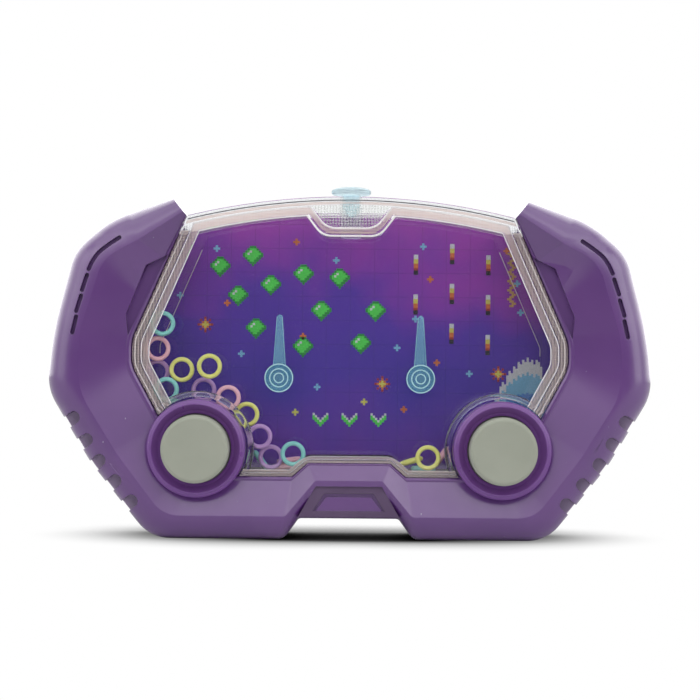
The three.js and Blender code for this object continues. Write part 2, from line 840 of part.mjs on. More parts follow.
bothSides.forEach((side) => {
  place(`button_${sideName(side)}`, button(side), sage);
  place(`pump_bulb_${sideName(side)}`, bulb(side), darkRubber);
  place(`bulb_clamp_${sideName(side)}`, bulbClamp(side), whitePlastic);
  place(`jet_nozzle_${sideName(side)}`, jetNozzle(side), whitePlastic);
});

// Pegs: a hub between the tank's walls and a spike that the rings land on
function peg(side) {
  const x = side * pegX;
  const back = cavityBack - clearance;
  const front = back - pegHubDepth;
  const hub = turned([
    [0, front],
    [pegCoreRadius, front],
    [pegCoreRadius, front + pegGroove],
    [pegHubRadius - pegRimWidth, front + pegGroove],
    [pegHubRadius - pegRimWidth, front],
    [pegHubRadius, front],
    [pegHubRadius, back],
    [0, back],
  ], x, pegHubZ, hubSteps);
  const ears = slab([
    [x - pegHubRadius - pegEar, pegHubZ],
    [x, pegHubZ - pegEarHeight],
    [x + pegHubRadius + pegEar, pegHubZ],
    [x, pegHubZ + pegEarHeight],
  ], front + pegGroove, back);
  const tip = pegHubZ + spikeHeight;
  const spike = upright([
    [0, pegHubZ],
    [spikeFoot / 2, pegHubZ],
    [spikeFoot / 2, pegHubZ + pegHubRadius],
    [spikeTip / 2, tip - spikeTip / 2],
    [spikeTip / 4, tip - spikeTip / 8],
    [0, tip],
  ], x, (front + back) / 2, spikeSteps);
  return joinAll([hub, ears, spike]);
}
bothSides.forEach((side) => place(`peg_${sideName(side)}`, peg(side), skyClear));

// Filler stopper
function stopper() {
  const capFoot = bodyHeight + stopperStand;
  const capTop = capFoot + stopperCapHeight;
  const neckFoot = capFoot - stopperNeckHeight;
  const tip = neckFoot - stopperPlugLength;
  return upright([
    [0, tip],
    [stopperPlugRadius / 2, tip + stopperPlugLength / 12],
    [stopperPlugRadius * 5 / 6, tip + stopperPlugLength / 3],
    [stopperPlugRadius, neckFoot],
    [stopperNeckRadius, neckFoot],
    [stopperNeckRadius, capFoot],
    [stopperCapRadius - stopperCapHeight / 6, capFoot],
    [stopperCapRadius, capFoot + stopperCapHeight / 6],
    [stopperCapRadius, capFoot + stopperCapHeight / 2],
    [stopperCapRadius * 2 / 3, capTop - stopperCapHeight / 8],
    [0, capTop],
  ], 0, -fillerDepth, hubSteps);
}
place('filler_stopper', stopper(), paleRubber);

// Screws, from the rear
function screw([x, z]) {
  const seat = postFloor + clearance;
  const tip = seat - screwLength;
  const headRear = seat + screwHeadHeight;
  const body = turned([
    [0, tip],
    [screwShankRadius, tip + screwShankRadius],
    [screwShankRadius, seat],
    [screwHeadRadius, seat],
    [screwHeadRadius, seat + screwHeadHeight / 2],
    [screwHeadRadius * 2 / 3, headRear],
    [0, headRear],
  ], x, z, screwSteps);
  const half = screwSlotWidth / 2;
  const reach = screwSlotLength / 2;
  const floor = headRear - screwRecess;
  return cutAll(body, [
    block(x - half, x + half, floor, headRear + overrun, z - reach, z + reach),
    block(x - reach, x + reach, floor, headRear + overrun, z - half, z + half),
  ]);
}
screwPlaces.forEach((spot, i) => place(`screw_${i + 1}`, screw(spot), steel));

// Points of the tank that the loose rings rest on, on its right half
const wallRest = [wallCorner.x, wallCorner.z];
const floorRest = [floorCorner.x, floorCorner.z];
const pumpRest = [pumpX, pumpZ];
const shoulderRest = between(wallRest, pumpRest, 1 / 2);

// Loose rings: [colour, side, resting point, outwards and upwards from it as shares of the ring's
// diameter, tank wall that its layer counts from, layer, pitch and lean in degrees]
const upstanding = 90;
const ringShares = [
  [cyan, -1, wallRest, -1.225, 1.660, 'front', 0, upstanding, 0],
  [pink, -1, wallRest, -1.019, 0.668, 'front', 1, upstanding, 0],
  [lilac, -1, wallRest, -0.982, -0.257, 'front', 2, upstanding, 0],
  [cyan, -1, shoulderRest, -0.066, 0.660, 'front', 0, upstanding, 0],
  [yellow, -1, wallRest, -1.976, -0.163, 'front', 1, upstanding, 0],
  [yellow, -1, pumpRest, -0.437, 3.210, 'front', 0, upstanding, 0],
  [lilac, -1, pumpRest, -0.182, 2.259, 'front', 2, upstanding, 0],
  [pink, -1, pumpRest, -1.190, 1.972, 'front', 0, upstanding, 0],
  [yellow, -1, pumpRest, -1.918, 1.306, 'front', 1, upstanding, 0],
  [lilac, -1, pumpRest, -2.451, 0.449, 'front', 0, upstanding, 0],
  [lilac, -1, floorRest, 0.862, 0.749, 'front', 1, upstanding, 0],
  [cyan, -1, floorRest, -0.024, 0.899, 'front', 0, upstanding, 0],
  [cyan, -1, floorRest, 1.275, 0.559, 'back', 0, 0, 53],
  [pink, -1, floorRest, 0.159, 0.585, 'back', 0, 0, -8],
  [pink, -1, floorRest, 0.401, 0.326, 'back', 0, 0, -4],
  [yellow, 1, floorRest, 0.874, 0.790, 'front', 0, upstanding, 0],
  [yellow, 1, floorRest, 0.243, 0.585, 'back', 0, 0, -16],
  [cyan, 1, floorRest, 0.741, 0.287, 'back', 0, 0, 2],
  [pink, 1, floorRest, 1.469, 0.790, 'back', 0, 0, -57],
];

// A tilted ring takes up more depth, so its layer is as deep as its pitch makes it
ringShares.forEach(([look, side, rest, outwards, upwards, from, layer, pitch, lean], i) => {
  const tube = ringSection / 2;
  const torus = new THREE.TorusGeometry(ringDiameter / 2 - tube, tube, ringSides, ringSteps);
  const ring = place(`ring_${String(i + 1).padStart(2, '0')}`, toSolid(torus), look);
  const tilt = THREE.MathUtils.degToRad(pitch);
  const halfDepth = tube + (ringDiameter / 2 - tube) * Math.abs(Math.cos(tilt));
  const inwards = ringGap / 2 + halfDepth + layer * (2 * halfDepth + ringGap);
  const y = from === 'front' ? inwards - cavityFront : cavityBack - inwards;
  const x = side * (rest[0] + outwards * ringDiameter);
  ring.position.set(x, y, rest[1] + upwards * ringDiameter);
  ring.rotation.set(tilt, THREE.MathUtils.degToRad(lean), 0);
});

export default game;
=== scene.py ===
import math

import bmesh
import bpy
from mathutils import Matrix, Vector


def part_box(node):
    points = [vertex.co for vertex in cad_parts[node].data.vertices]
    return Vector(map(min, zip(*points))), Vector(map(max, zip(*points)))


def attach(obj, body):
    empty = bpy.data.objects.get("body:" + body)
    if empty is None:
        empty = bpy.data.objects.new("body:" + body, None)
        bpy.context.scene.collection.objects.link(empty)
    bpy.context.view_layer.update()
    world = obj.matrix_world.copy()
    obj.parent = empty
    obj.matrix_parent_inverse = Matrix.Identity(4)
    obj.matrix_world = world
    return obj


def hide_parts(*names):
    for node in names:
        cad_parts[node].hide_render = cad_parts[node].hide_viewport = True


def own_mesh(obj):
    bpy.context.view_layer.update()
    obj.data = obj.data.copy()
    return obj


# Handheld water game. Sizes are in millimetres, with depths from the housings' parting plane,
# the front negative. A piece is brought into the row frame, in metres, when it is placed.
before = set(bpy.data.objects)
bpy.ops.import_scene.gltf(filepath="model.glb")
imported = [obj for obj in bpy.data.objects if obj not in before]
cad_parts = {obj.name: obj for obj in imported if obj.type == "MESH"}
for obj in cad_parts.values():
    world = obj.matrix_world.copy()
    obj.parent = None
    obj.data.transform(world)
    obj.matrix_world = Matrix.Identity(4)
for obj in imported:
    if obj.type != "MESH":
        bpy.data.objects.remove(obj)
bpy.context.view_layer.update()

MM = 0.001
PARTING = 3.25
HALF_WIDTH = 82.5
HEIGHT = 92.5

# Camera, from the photograph's perspective
PHOTO_PIXELS = 700
FOCAL_PIXELS = 1623.5
SENSOR_MM = 36
CAMERA_DEPTH = -445
CAMERA_HEIGHT = 51.3
CAMERA_ROLL = 0.5


def row_point(x, y, z):
    return Vector((x * MM, (y + PARTING) * MM, z * MM))


def add(name, data):
    """Adds an object with this data to the scene."""
    obj = bpy.data.objects.new(name, data)
    bpy.context.scene.collection.objects.link(obj)
    return obj


def add_camera():
    data = bpy.data.cameras.new("camera")
    data.sensor_width = SENSOR_MM
    data.lens = SENSOR_MM * FOCAL_PIXELS / PHOTO_PIXELS
    camera = add("camera", data)
    level = Matrix.Rotation(math.radians(90), 4, "X")
    turn = level @ Matrix.Rotation(math.radians(CAMERA_ROLL), 4, "Z")
    camera.matrix_world = Matrix.Translation(row_point(0, CAMERA_DEPTH, CAMERA_HEIGHT)) @ turn
    bpy.context.scene.camera = camera


add_camera()
bpy.context.scene.view_settings.view_transform = "Standard"

# Right halves of the outlines: [x share of the half width, z share of the height,
# corner radius share of the height]
EDGE_SHARES = [
    (0.163, 0.061, 0.016), (0.212, 0.000, 0.045), (0.650, 0.000, 0.125),
    (0.848, 0.220, 0.450), (0.9915, 0.434, 0.150), (0.973, 0.600, 0.900),
    (0.906, 0.836, 0.150), (0.788, 0.929, 0.320), (0.582, 0.992, 0.000),
]
RIDGE_SHARES = [
    (0.108, 0.178, 0.013), (0.205, 0.074, 0.019), (0.600, 0.074, 0.100),
    (0.750, 0.250, 0.300), (0.876, 0.432, 0.200), (0.876, 0.584, 0.400),
    (0.800, 0.813, 0.120), (0.685, 0.867, 0.032), (0.542, 0.949, 0.000),
]
LIP_SHARES = [
    (0.133, 0.225, 0.011), (0.185, 0.185, 0.011), (0.520, 0.185, 0.022),
    (0.613, 0.339, 0.022), (0.713, 0.505, 0.110), (0.712, 0.581, 0.110),
    (0.657, 0.693, 0.022), (0.599, 0.812, 0.022), (0.536, 0.942, 0.000),
]
REAR_TOP_SHARES = [(0.100, 0.951, 0.300), (0.300, 0.934, 0.300), (0.541, 0.893, 0.005)]
ARC_STEPS = 9
ROLL_STEPS = 14
ROUND_STEPS = 96
PORT_STEPS = 48
POST_STEPS = 40
BORE_STEPS = 32
HOLE_STEPS = 24
BEND_REACH_SHARE = 0.45
LEAST_ROUND_SHARE = 0.25
SHARP_ANGLE = math.radians(13)
CUT_PAST = 1

# Housings
RIDGE_DEPTH = 13
REAR_DEPTH = 12
FLAT_DEPTH = 5
REAR_ROUND = 4
REAR_FLAT_DEPTH = 6
HOUSING_WALL = 2
SEAM_GAP = 0.3
CLEARANCE = 0.3
OVERRUN = 3
VOID_BEND_SHARE = 0.48
VOID_RISE_SHARE = 0.72
LIP_DEPTH = 9.5
LIP_THICKNESS = 2.2
LIP_BEAD = [(0.90, 0.0), (0.93, 0.22), (0.965, 0.30), (1.0, 0.10)]

# Tank. Each step of the window has its inset, depth behind the face and growth of the filler's cut
WINDOW_DEPTH = 10
WINDOW_THICKNESS = 1.6
WINDOW_FIT = 0.25
WINDOW_STEPS = [(2.3, 0.30, -2.6), (4.4, 0.0, -0.6)]
WINDOW_SHELF = 0.65
WINDOW_EDGE = 0.2
WINDOW_BEVEL = 0.5
WINDOW_BEVEL_DROP = 0.4
BEVEL_BEND = (0.35, 0.45)
STEP_OVERLAP = 0.2
CROWN_SPREAD = 1.04
FOOT_SHARE = 0.40
FOOT_TOP = 0.25 * HEIGHT
WELD_INSET = 6.1
WELD_WIDTH = 0.22
WELD_GROW = 4
WELD_TOP = 78.5
WELD_FOOT = 50
WELD_HALF = 32
SHEET = 0.1
LINE_LIFT = 0.08
BAND_LIFT = 0.05
BAND_TOP = 83
SEAM_DROP = 0.85
SEAM_WIDTH = 0.28
TANK_FLANGE = 0.8
FLANGE_DEPTH = 7
FLANGE_TOP_SHARE = 0.91
TANK_WALL = 1.6
CROWN_WALL = 4.6
CROWN_RISE = 5
CROWN_HALF_SHARE = 0.513
CROWN_STEPS = 48
SIDE_REACH = 15
CAVITY_BACK = 2.4
BACK_PLATE_THICKNESS = 1.4
FILLER_FOOT = 15.4
FILLER_FOOT_ROUND = 5.4
FILLER_SHOULDER = 24.8
FILLER_SHOULDER_ROUND = 2.6
FILLER_DROP = 10.7
CARD_THICKNESS = 0.5
CARD_INSET = 2.4
CARD_TOP_DROP = 4.3

# Pumps
PUMP_X = 0.494 * HALF_WIDTH
PUMP_Z = 0.268 * HEIGHT
WELL_RADIUS = 10.3
WELL_WALL = 1.4
WELL_FLOOR_FRONT = 4.2
WELL_FLOOR = 1.8
WELL_PORT_RADIUS = 2.6
WEDGE_TOP_REACH = 12.2
WEDGE_TOP_RISE = 4.2
WEDGE_FOOT_REACH = 16.9
BEAD_RADIUS = 14.1
BEAD_ROUND = 0.8
BEAD_OUT = 0.35
BEAD_FOOT = 1.1
BEAD_INSET = 0.3
BEAD_OVERLAP = 0.5
COLLAR_RADIUS = 13.1
COLLAR_RIM = 15
COLLAR_RIM_RADIUS = 12.1
COLLAR_RIM_ROUND = 0.28
COLLAR_FALL = 1.35
COLLAR_DISH = 13
COLLAR_DISH_STEP = (0.9, 0.35)
COLLAR_SHOULDER = 11.9
COLLAR_SKIRT = 8.5
BUTTON_RADIUS = 9
BUTTON_FACE = 18.5
BUTTON_DISH = [(0, 0.18), (0.55, 0.15), (0.86, 0.05)]
BUTTON_FLANGE = 0.9
BUTTON_FLANGE_THICKNESS = 0.8
BUTTON_WALL = 1.3
BUTTON_ROUND = 1.1
PLUNGER_RADIUS = 3.2
BULB_RADIUS = 7.6
BULB_HEIGHT = 5.4
BULB_WALL = 0.8
BULB_FLANGE_THICKNESS = 0.8
CLAMP_THICKNESS = 0.9
CLAMP_CHAMFER = 0.2
NOZZLE_BORE = 1.1
NOZZLE_FLANGE_RADIUS = 4
NOZZLE_FLANGE_THICKNESS = 1.2
SPOUT_RADIUS = 1.6
SPOUT_REACH = 9

# Pegs and stopper
PEG_X = 0.2335 * HALF_WIDTH
PEG_Z = 0.471 * HEIGHT
PEG_HUB_RADIUS = 3.9
PEG_HUB_DEPTH = 6
PEG_HUB_ROUND = 0.15
PEG_GROOVES = [(0.0, 0.0), (1.1, 0.0), (1.2, 0.35), (2.1, 0.35), (2.2, 0.0), (2.9, 0.0), (3.0, 0.5),
               (3.3, 0.5), (3.4, 0.0)]
PEG_EAR = 0.5
PEG_EAR_HEIGHT = 2
PEG_EAR_ROUND = 0.4
SPIKE_HEIGHT = 17.3
SPIKE_FOOT = 3.3
SPIKE_TIP = 1.5
PEG_LINE = 0.3
PEG_LINE_RADII = (1.15, 2.3, PEG_HUB_RADIUS - 0.3)
PEG_LINE_LIFT = 0.02
PEG_LINE_DEPTH = 0.25
PEG_LINE_INSET = 0.1
PEG_LINE_SINK = 0.4
STOPPER_CAP_RADIUS = 5.35
STOPPER_CAP_HEIGHT = 2.1
STOPPER_CAP_EDGE = 0.9
STOPPER_NECK_RADIUS = 2.15
STOPPER_NECK_HEIGHT = 2.45
STOPPER_PLUG_RADIUS = 2.5
STOPPER_PLUG_LENGTH = 3.75
STOPPER_NOSE = [(0, 0), (0.7, 0.1), (1.4, 0.7), (1.95, 1.8)]
STOPPER_CHAMFER = 0.4
STOPPER_CAP_FOOT = (0.05, 0.35)
STOPPER_STAND = 0.9

# Rings
RING_DIAMETER = 6.8
RING_SECTION = 1.2
RING_SECTION_STEPS = 20

# Screws
SCREW_SHARES = [(0.727, 0.822), (0.818, 0.476), (0.327, 0.086)]
SCREW_HEAD_RADIUS = 2.5
SCREW_HEAD_HEIGHT = 1.8
SCREW_HEAD_EDGE = 0.8
SCREW_SHANK_RADIUS = 1.2
SCREW_LENGTH = 9
SCREW_RECESS = 0.9
SCREW_SLOT_WIDTH = 0.7
SCREW_SLOT_LENGTH = 3
POST_RADIUS = 4.3
FRONT_POST_RADIUS = 3.2
POST_FLOOR = 3.4

# Notches, vents, recesses and the bare plate
NOTCH_COUNT = 5
NOTCH_START = 10.6
NOTCH_PITCH = 6.9
NOTCH_WIDTH = 3.4
NOTCH_DEPTH = 4.9
NOTCH_FLOOR = 2.6
NOTCH_WALL = 1.4
VENT_WIDTH = 1.15
VENT_FLOOR = 10.9
VENT_SHARES = [
    [(0.748, 0.873), (0.781, 0.853), (0.813, 0.830), (0.832, 0.807), (0.846, 0.781)],
    [(0.851, 0.764), (0.867, 0.721)],
    [(0.870, 0.704), (0.885, 0.660)],
    [(0.885, 0.644), (0.897, 0.598)],
]
RECESS_SHARES = [(0.595, 0.826), (0.664, 0.795), (0.729, 0.652), (0.722, 0.592), (0.676, 0.676)]
RECESS_FLOOR = 8.8
RECESS_BACKING = 1.4
PLATE_SHARES = [(0.164, 0.072), (0.107, 0.161)]
PLATE_RECESS_SHARES = [(0.116, 0.090), (0.079, 0.140)]
PLATE_DEPTH = 12.4
PLATE_RECESS = 0.9
PAD_SHARES = [(0.112, 0.086), (0.073, 0.130)]
PAD_HEIGHT = 0.5
RIB_THICKNESS = 1.6
RIB_HALF_SHARE = 0.5
RIB_SHARES = [0.33, 0.6, 0.87]

# Depths that follow
CAVITY_FRONT = WINDOW_DEPTH - WINDOW_THICKNESS
BACK_PLATE_FRONT = CAVITY_BACK + CLEARANCE
BACK_PLATE_REAR = BACK_PLATE_FRONT + BACK_PLATE_THICKNESS
CARD_FRONT = BACK_PLATE_REAR + CLEARANCE
CARD_REAR = CARD_FRONT + CARD_THICKNESS
WELL_FLOOR_REAR = WELL_FLOOR_FRONT - WELL_FLOOR
WELL_OUTER = WELL_RADIUS + WELL_WALL
FILLER_DEPTH = (WINDOW_DEPTH - CAVITY_BACK) / 2
COLLAR_REAR = WINDOW_DEPTH + CLEARANCE
BULB_BASE = WELL_FLOOR_FRONT + CLEARANCE
BULB_TOP = BULB_BASE + BULB_HEIGHT
SIDES = (-1, 1)
NAMED_SIDES = ((-1, "left"), (1, "right"))


# Solids
def solid(points, faces):
    mesh = bpy.data.meshes.new("solid")
    mesh.from_pydata(points, [], faces)
    edit = bmesh.new()
    edit.from_mesh(mesh)
    bmesh.ops.remove_doubles(edit, verts=edit.verts, dist=1e-4)
    bmesh.ops.triangulate(edit, faces=[f for f in edit.faces if len(f.verts) > 4])
    bmesh.ops.recalc_face_normals(edit, faces=edit.faces)
    edit.to_mesh(mesh)
    edit.free()
    return add("solid", mesh)


def duplicate(obj):
    return add("copy", obj.data.copy())


def combine(base, others, operation):
    for other in others:
        step = base.modifiers.new("step", "BOOLEAN")
        step.operation = operation
        step.solver = "MANIFOLD"
        step.object = other
        with bpy.context.temp_override(object=base, active_object=base, selected_objects=[base]):
            bpy.ops.object.modifier_apply(modifier=step.name)
        bpy.data.objects.remove(other)
    return base


def joined(solids):
    return combine(solids[0], solids[1:], "UNION")


def cut(base, cutters):
    return combine(base, cutters, "DIFFERENCE")


def shared(base, other):
    return combine(base, [other], "INTERSECT")


def kept_within(form, pieces):
    """Cuts each piece back to a form, which is used up."""
    for piece in pieces:
        shared(piece, duplicate(form))
    bpy.data.objects.remove(form)
    return pieces


def loft(loops):
    count = len(loops[0])
    points = [point for loop in loops for point in loop]
    faces = []
    for ring in range(len(loops) - 1):
        for i in range(count):
            a = ring * count + i
            b = ring * count + (i + 1) % count
            faces.append((a, b, b + count, a + count))
    last = (len(loops) - 1) * count
    faces.append(tuple(reversed(range(count))))
    faces.append(tuple(range(last, last + count)))
    return solid(points, faces)


def at_depth(outline, y):
    return [(x, y, z) for x, z in outline]


def slab(points, front, back):
    return loft([at_depth(points, front), at_depth(points, back)])


def spun(profile, steps, at):
    """A solid turned from a closed profile of (radius, height). The function at gives a point from
    its two places across and its height."""
    count = len(profile)
    faces = []
    for step in range(steps):
        a, b = step * count, (step + 1) % steps * count
        for i in range(count - 1 if profile[0][0] == 0 else count):
            j = (i + 1) % count
            faces.append((a + i, a + j, b + j, b + i))
    turns = [2 * math.pi * step / steps for step in range(steps)]
    points = [at(r * math.cos(t), r * math.sin(t), height) for t in turns for r, height in profile]
    return solid(points, faces)


def turned(profile, x, z, steps=ROUND_STEPS):
    """A solid turned about a line along Y, from a closed profile of (radius, depth)."""
    return spun(profile, steps, lambda across, up, y: (x + across, y, z + up))


def upright(profile, x, y, steps=ROUND_STEPS):
    """The same about a vertical line, from a profile of (radius, height)."""
    return spun(profile, steps, lambda across, back, z: (x + across, y + back, z))


def post(radius, foot, top, x, y, steps=PORT_STEPS):
    return upright([(0, foot), (radius, foot), (radius, top), (0, top)], x, y, steps)


def quarter(steps):
    """Angles over a quarter turn."""
    return [math.pi / 2 * step / steps for step in range(steps + 1)]


def dome(radius, foot, rise, steps):
    """A profile of (radius, height) from a dome's foot to its top on the axis."""
    arch = [(radius * math.cos(t), foot + rise * math.sin(t)) for t in quarter(steps)]
    return [*arch[:-1], (0, foot + rise)]


def arc(centre_r, centre_y, radius, start, stop, steps=6):
    """Points of (radius, depth) along an arc, with angles in degrees from outwards to the front."""
    turns = [math.radians(start + (stop - start) * step / steps) for step in range(steps + 1)]
    return [(centre_r + radius * math.cos(t), centre_y - radius * math.sin(t)) for t in turns]


def rod(radius, front, back, x, z, steps=ROUND_STEPS):
    return turned([(0, front), (radius, front), (radius, back), (0, back)], x, z, steps)


def block(x0, x1, y0, y1, z0, z1):
    return slab([(x0, z0), (x1, z0), (x1, z1), (x0, z1)], y0, y1)


# Outlines: lists of corners, anticlockwise as seen from the front
def sized(table):
    return [(x * HALF_WIDTH, z * HEIGHT, r * HEIGHT) for x, z, r in table]


def with_mirror(right):
    return [(-x, z, r) for x, z, r in reversed(right)] + right


def direction(a, b):
    length = math.hypot(b[0] - a[0], b[1] - a[1])
    return ((b[0] - a[0]) / length, (b[1] - a[1]) / length, length)


def offset_outline(corners, distance, closed, end_reach=0, foot_share=1):
    """Moves each side outwards by a distance, and the sides at the foot by a share of it."""
    count = len(corners)

    def side(i):
        a = corners[i % count]
        b = corners[(i + 1) % count]
        along = direction(a, b)
        step = distance * (foot_share if max(a[1], b[1]) < FOOT_TOP else 1)
        return (a[0] + along[1] * step, a[1] - along[0] * step, along)

    moved = []
    for i, (_, _, r) in enumerate(corners):
        bx, bz, before = side(i - 1)
        ax, az, after = side(i)
        if not closed and i == 0:
            moved.append((ax - after[0] * end_reach, az - after[1] * end_reach, 0))
            continue
        if not closed and i == count - 1:
            reach = before[2] + end_reach
            moved.append((bx + before[0] * reach, bz + before[1] * reach, 0))
            continue
        turn = before[0] * after[1] - before[1] * after[0]
        way = ((ax - bx) * after[1] - (az - bz) * after[0]) / turn
        radius = max(r + math.copysign(1, turn) * distance, LEAST_ROUND_SHARE * r)
        moved.append((bx + before[0] * way, bz + before[1] * way, radius if r else 0))
    return moved


def rounded(corners, closed):
    count = len(corners)
    points = []
    for i, (x, z, r) in enumerate(corners):
        if r == 0 or (not closed and i in (0, count - 1)):
            points.append((x, z))
            continue
        back = direction((x, z), corners[i - 1])
        ahead = direction((x, z), corners[(i + 1) % count])
        cosine = max(-1.0, min(1.0, back[0] * ahead[0] + back[1] * ahead[1]))
        half_turn = (math.pi - math.acos(cosine)) / 2
        reach = min(r * math.tan(half_turn), BEND_REACH_SHARE * min(back[2], ahead[2]))
        start = (x + back[0] * reach, z + back[1] * reach)
        end = (x + ahead[0] * reach, z + ahead[1] * reach)
        for step in range(ARC_STEPS + 1):
            t = step / ARC_STEPS
            weights = ((1 - t) ** 2, 2 * t * (1 - t), t * t)
            points.append(tuple(
                weights[0] * start[k] + weights[1] * (x, z)[k] + weights[2] * end[k] for k in (0, 1)
            ))
    return points


def between(a, b, share):
    return (a[0] + (b[0] - a[0]) * share, a[1] + (b[1] - a[1]) * share)


def towards(a, b, distance):
    return between(a, b, distance / math.hypot(b[0] - a[0], b[1] - a[1]))


def side_point(side, share):
    return (side * share[0] * HALF_WIDTH, share[1] * HEIGHT)


EDGE = with_mirror(sized(EDGE_SHARES))
RIDGE = with_mirror(sized(RIDGE_SHARES))
LIP = with_mirror(sized(LIP_SHARES))
SCREWS = [side_point(side, share) for side in SIDES for share in SCREW_SHARES]
CROWN_CHORD = CROWN_HALF_SHARE * HALF_WIDTH
CROWN_RADIUS = (CROWN_CHORD ** 2 + CROWN_RISE ** 2) / (2 * CROWN_RISE)


def tank_region(side_offset, crown_drop, front, back, bevel=0, bevel_drop=0, foot_share=1):
    """A slab of the tank's outline; bevel takes its front edge inwards over bevel_drop of depth."""
    stations = [(0, front), (0, back)]
    if bevel:
        bend = (BEVEL_BEND[0] * bevel, front + BEVEL_BEND[1] * bevel_drop)
        stations = [(bevel, front), bend, (0, front + bevel_drop), (0, back)]
    half_turn = math.asin(HALF_WIDTH / CROWN_RADIUS)
    turns = [half_turn * (1 - 2 * step / CROWN_STEPS) for step in range(CROWN_STEPS + 1)]
    centre = HEIGHT - CROWN_RADIUS
    sides, crown = [], []
    for inset, y in stations:
        moved = offset_outline(LIP, side_offset - inset, False, SIDE_REACH, foot_share)
        sides.append(at_depth(rounded(moved, False), y))
        radius = CROWN_RADIUS - crown_drop - inset
        curve = [(radius * math.sin(t), centre + radius * math.cos(t)) for t in turns]
        crown.append(at_depth([(HALF_WIDTH, -OVERRUN), *curve, (-HALF_WIDTH, -OVERRUN)], y))
    return shared(loft(sides), loft(crown))


def tank_flange(front, back):
    below = block(-HALF_WIDTH, HALF_WIDTH, front, back, 0, FLANGE_TOP_SHARE * HEIGHT)
    return shared(tank_region(TANK_FLANGE, 0, front, back), below)


def filler_outline(grow=0):
    top = HEIGHT - CROWN_WALL - grow
    foot = HEIGHT - FILLER_DROP - grow
    foot_x = (FILLER_FOOT + grow) / 2
    top_x = (FILLER_SHOULDER + grow) / 2
    above = HEIGHT + OVERRUN
    return rounded([
        (-foot_x, foot, FILLER_FOOT_ROUND), (foot_x, foot, FILLER_FOOT_ROUND),
        (top_x, top, FILLER_SHOULDER_ROUND), (top_x, above, 0),
        (-top_x, above, 0), (-top_x, top, FILLER_SHOULDER_ROUND),
    ], True)


def window_panel(inset, grow, front, back):
    """A raised step of the window, with a small bevel, that leaves out the filler's outline."""
    panel = tank_region(-WINDOW_FIT - inset, CROWN_SPREAD * inset, front, back,
                        WINDOW_EDGE, WINDOW_EDGE, FOOT_SHARE)
    stations = [(WINDOW_EDGE, front - CUT_PAST), (WINDOW_EDGE, front),
                (0, front + WINDOW_EDGE), (0, back + CUT_PAST)]
    cutter = loft([at_depth(filler_outline(grow + 2 * more), y) for more, y in stations])
    return cut(panel, [cutter])


def notch_shapes(side, grow):
    corners = sized(EDGE_SHARES)
    widest = max(range(len(corners)), key=lambda i: corners[i][0])
    radius = NOTCH_WIDTH / 2 + grow
    centre = NOTCH_DEPTH - NOTCH_WIDTH / 2
    turns = [math.pi * (1 - step / (2 * ARC_STEPS)) for step in range(2 * ARC_STEPS + 1)]
    bend = [(radius * math.cos(t), centre + radius * math.sin(t)) for t in turns]
    shapes = []
    for n in range(NOTCH_COUNT):
        left = NOTCH_START + n * NOTCH_PITCH
        i = widest
        while i > 1 and left > direction(corners[i], corners[i - 1])[2]:
            left -= direction(corners[i], corners[i - 1])[2]
            i -= 1
        along = direction(corners[i], corners[i - 1])
        mouth = (corners[i][0] + along[0] * left, corners[i][1] + along[1] * left)
        shapes.append([
            (side * (mouth[0] + along[0] * across + along[1] * deep),
             mouth[1] + along[1] * across - along[0] * deep)
            for across, deep in [(-radius, -OVERRUN), *bend, (radius, -OVERRUN)]
        ])
    return shapes


def notches(grow, front, back):
    return [slab(shape, front, back) for side in SIDES for shape in notch_shapes(side, grow)]


def strip(path, width):
    """A strip of even width with round ends along a path."""
    half = width / 2
    left, right = [], []
    for i, point in enumerate(path):
        along = direction(path[max(i - 1, 0)], path[min(i + 1, len(path) - 1)])
        left.append((point[0] - along[1] * half, point[1] + along[0] * half))
        right.append((point[0] + along[1] * half, point[1] - along[0] * half))

    def end(point, before):
        away = direction(before, point)
        start = math.atan2(away[1], away[0]) + math.pi / 2
        turns = [start - math.pi * step / 6 for step in range(1, 6)]
        return [(point[0] + half * math.cos(t), point[1] + half * math.sin(t)) for t in turns]

    return [*left, *end(path[-1], path[-2]), *reversed(right), *end(path[0], path[1])]


def smooth_path(points):
    """A curve through the points, with four steps between each two."""
    curve = []
    for i in range(len(points) - 1):
        p = [points[max(i - 1, 0)], points[i], points[i + 1], points[min(i + 2, len(points) - 1)]]
        for step in range(4):
            t = step / 4
            curve.append(tuple(0.5 * (
                2 * p[1][k] + (p[2][k] - p[0][k]) * t
                + (2 * p[0][k] - 5 * p[1][k] + 4 * p[2][k] - p[3][k]) * t * t
                + (3 * p[1][k] - p[0][k] - 3 * p[2][k] + p[3][k]) * t ** 3
            ) for k in (0, 1)))
    return curve + [points[-1]]


def pump_rods(radius, front, back):
    return [rod(radius, front, back, side * PUMP_X, PUMP_Z) for side in SIDES]


def screw_rods(radius, front, back, steps):
    return [rod(radius, front, back, x, z, steps) for x, z in SCREWS]


def plate_outline(shares):
    (foot_x, foot_z), (top_x, top_z) = shares
    corners = [(-foot_x, foot_z), (foot_x, foot_z), (top_x, top_z), (-top_x, top_z)]
    return [(x * HALF_WIDTH, z * HEIGHT) for x, z in corners]


# Materials
def linear(red, green, blue):
    def channel(value):
        value /= 255
        return value / 12.92 if value <= 0.04045 else ((value + 0.055) / 1.055) ** 2.4
    return (channel(red), channel(green), channel(blue), 1)


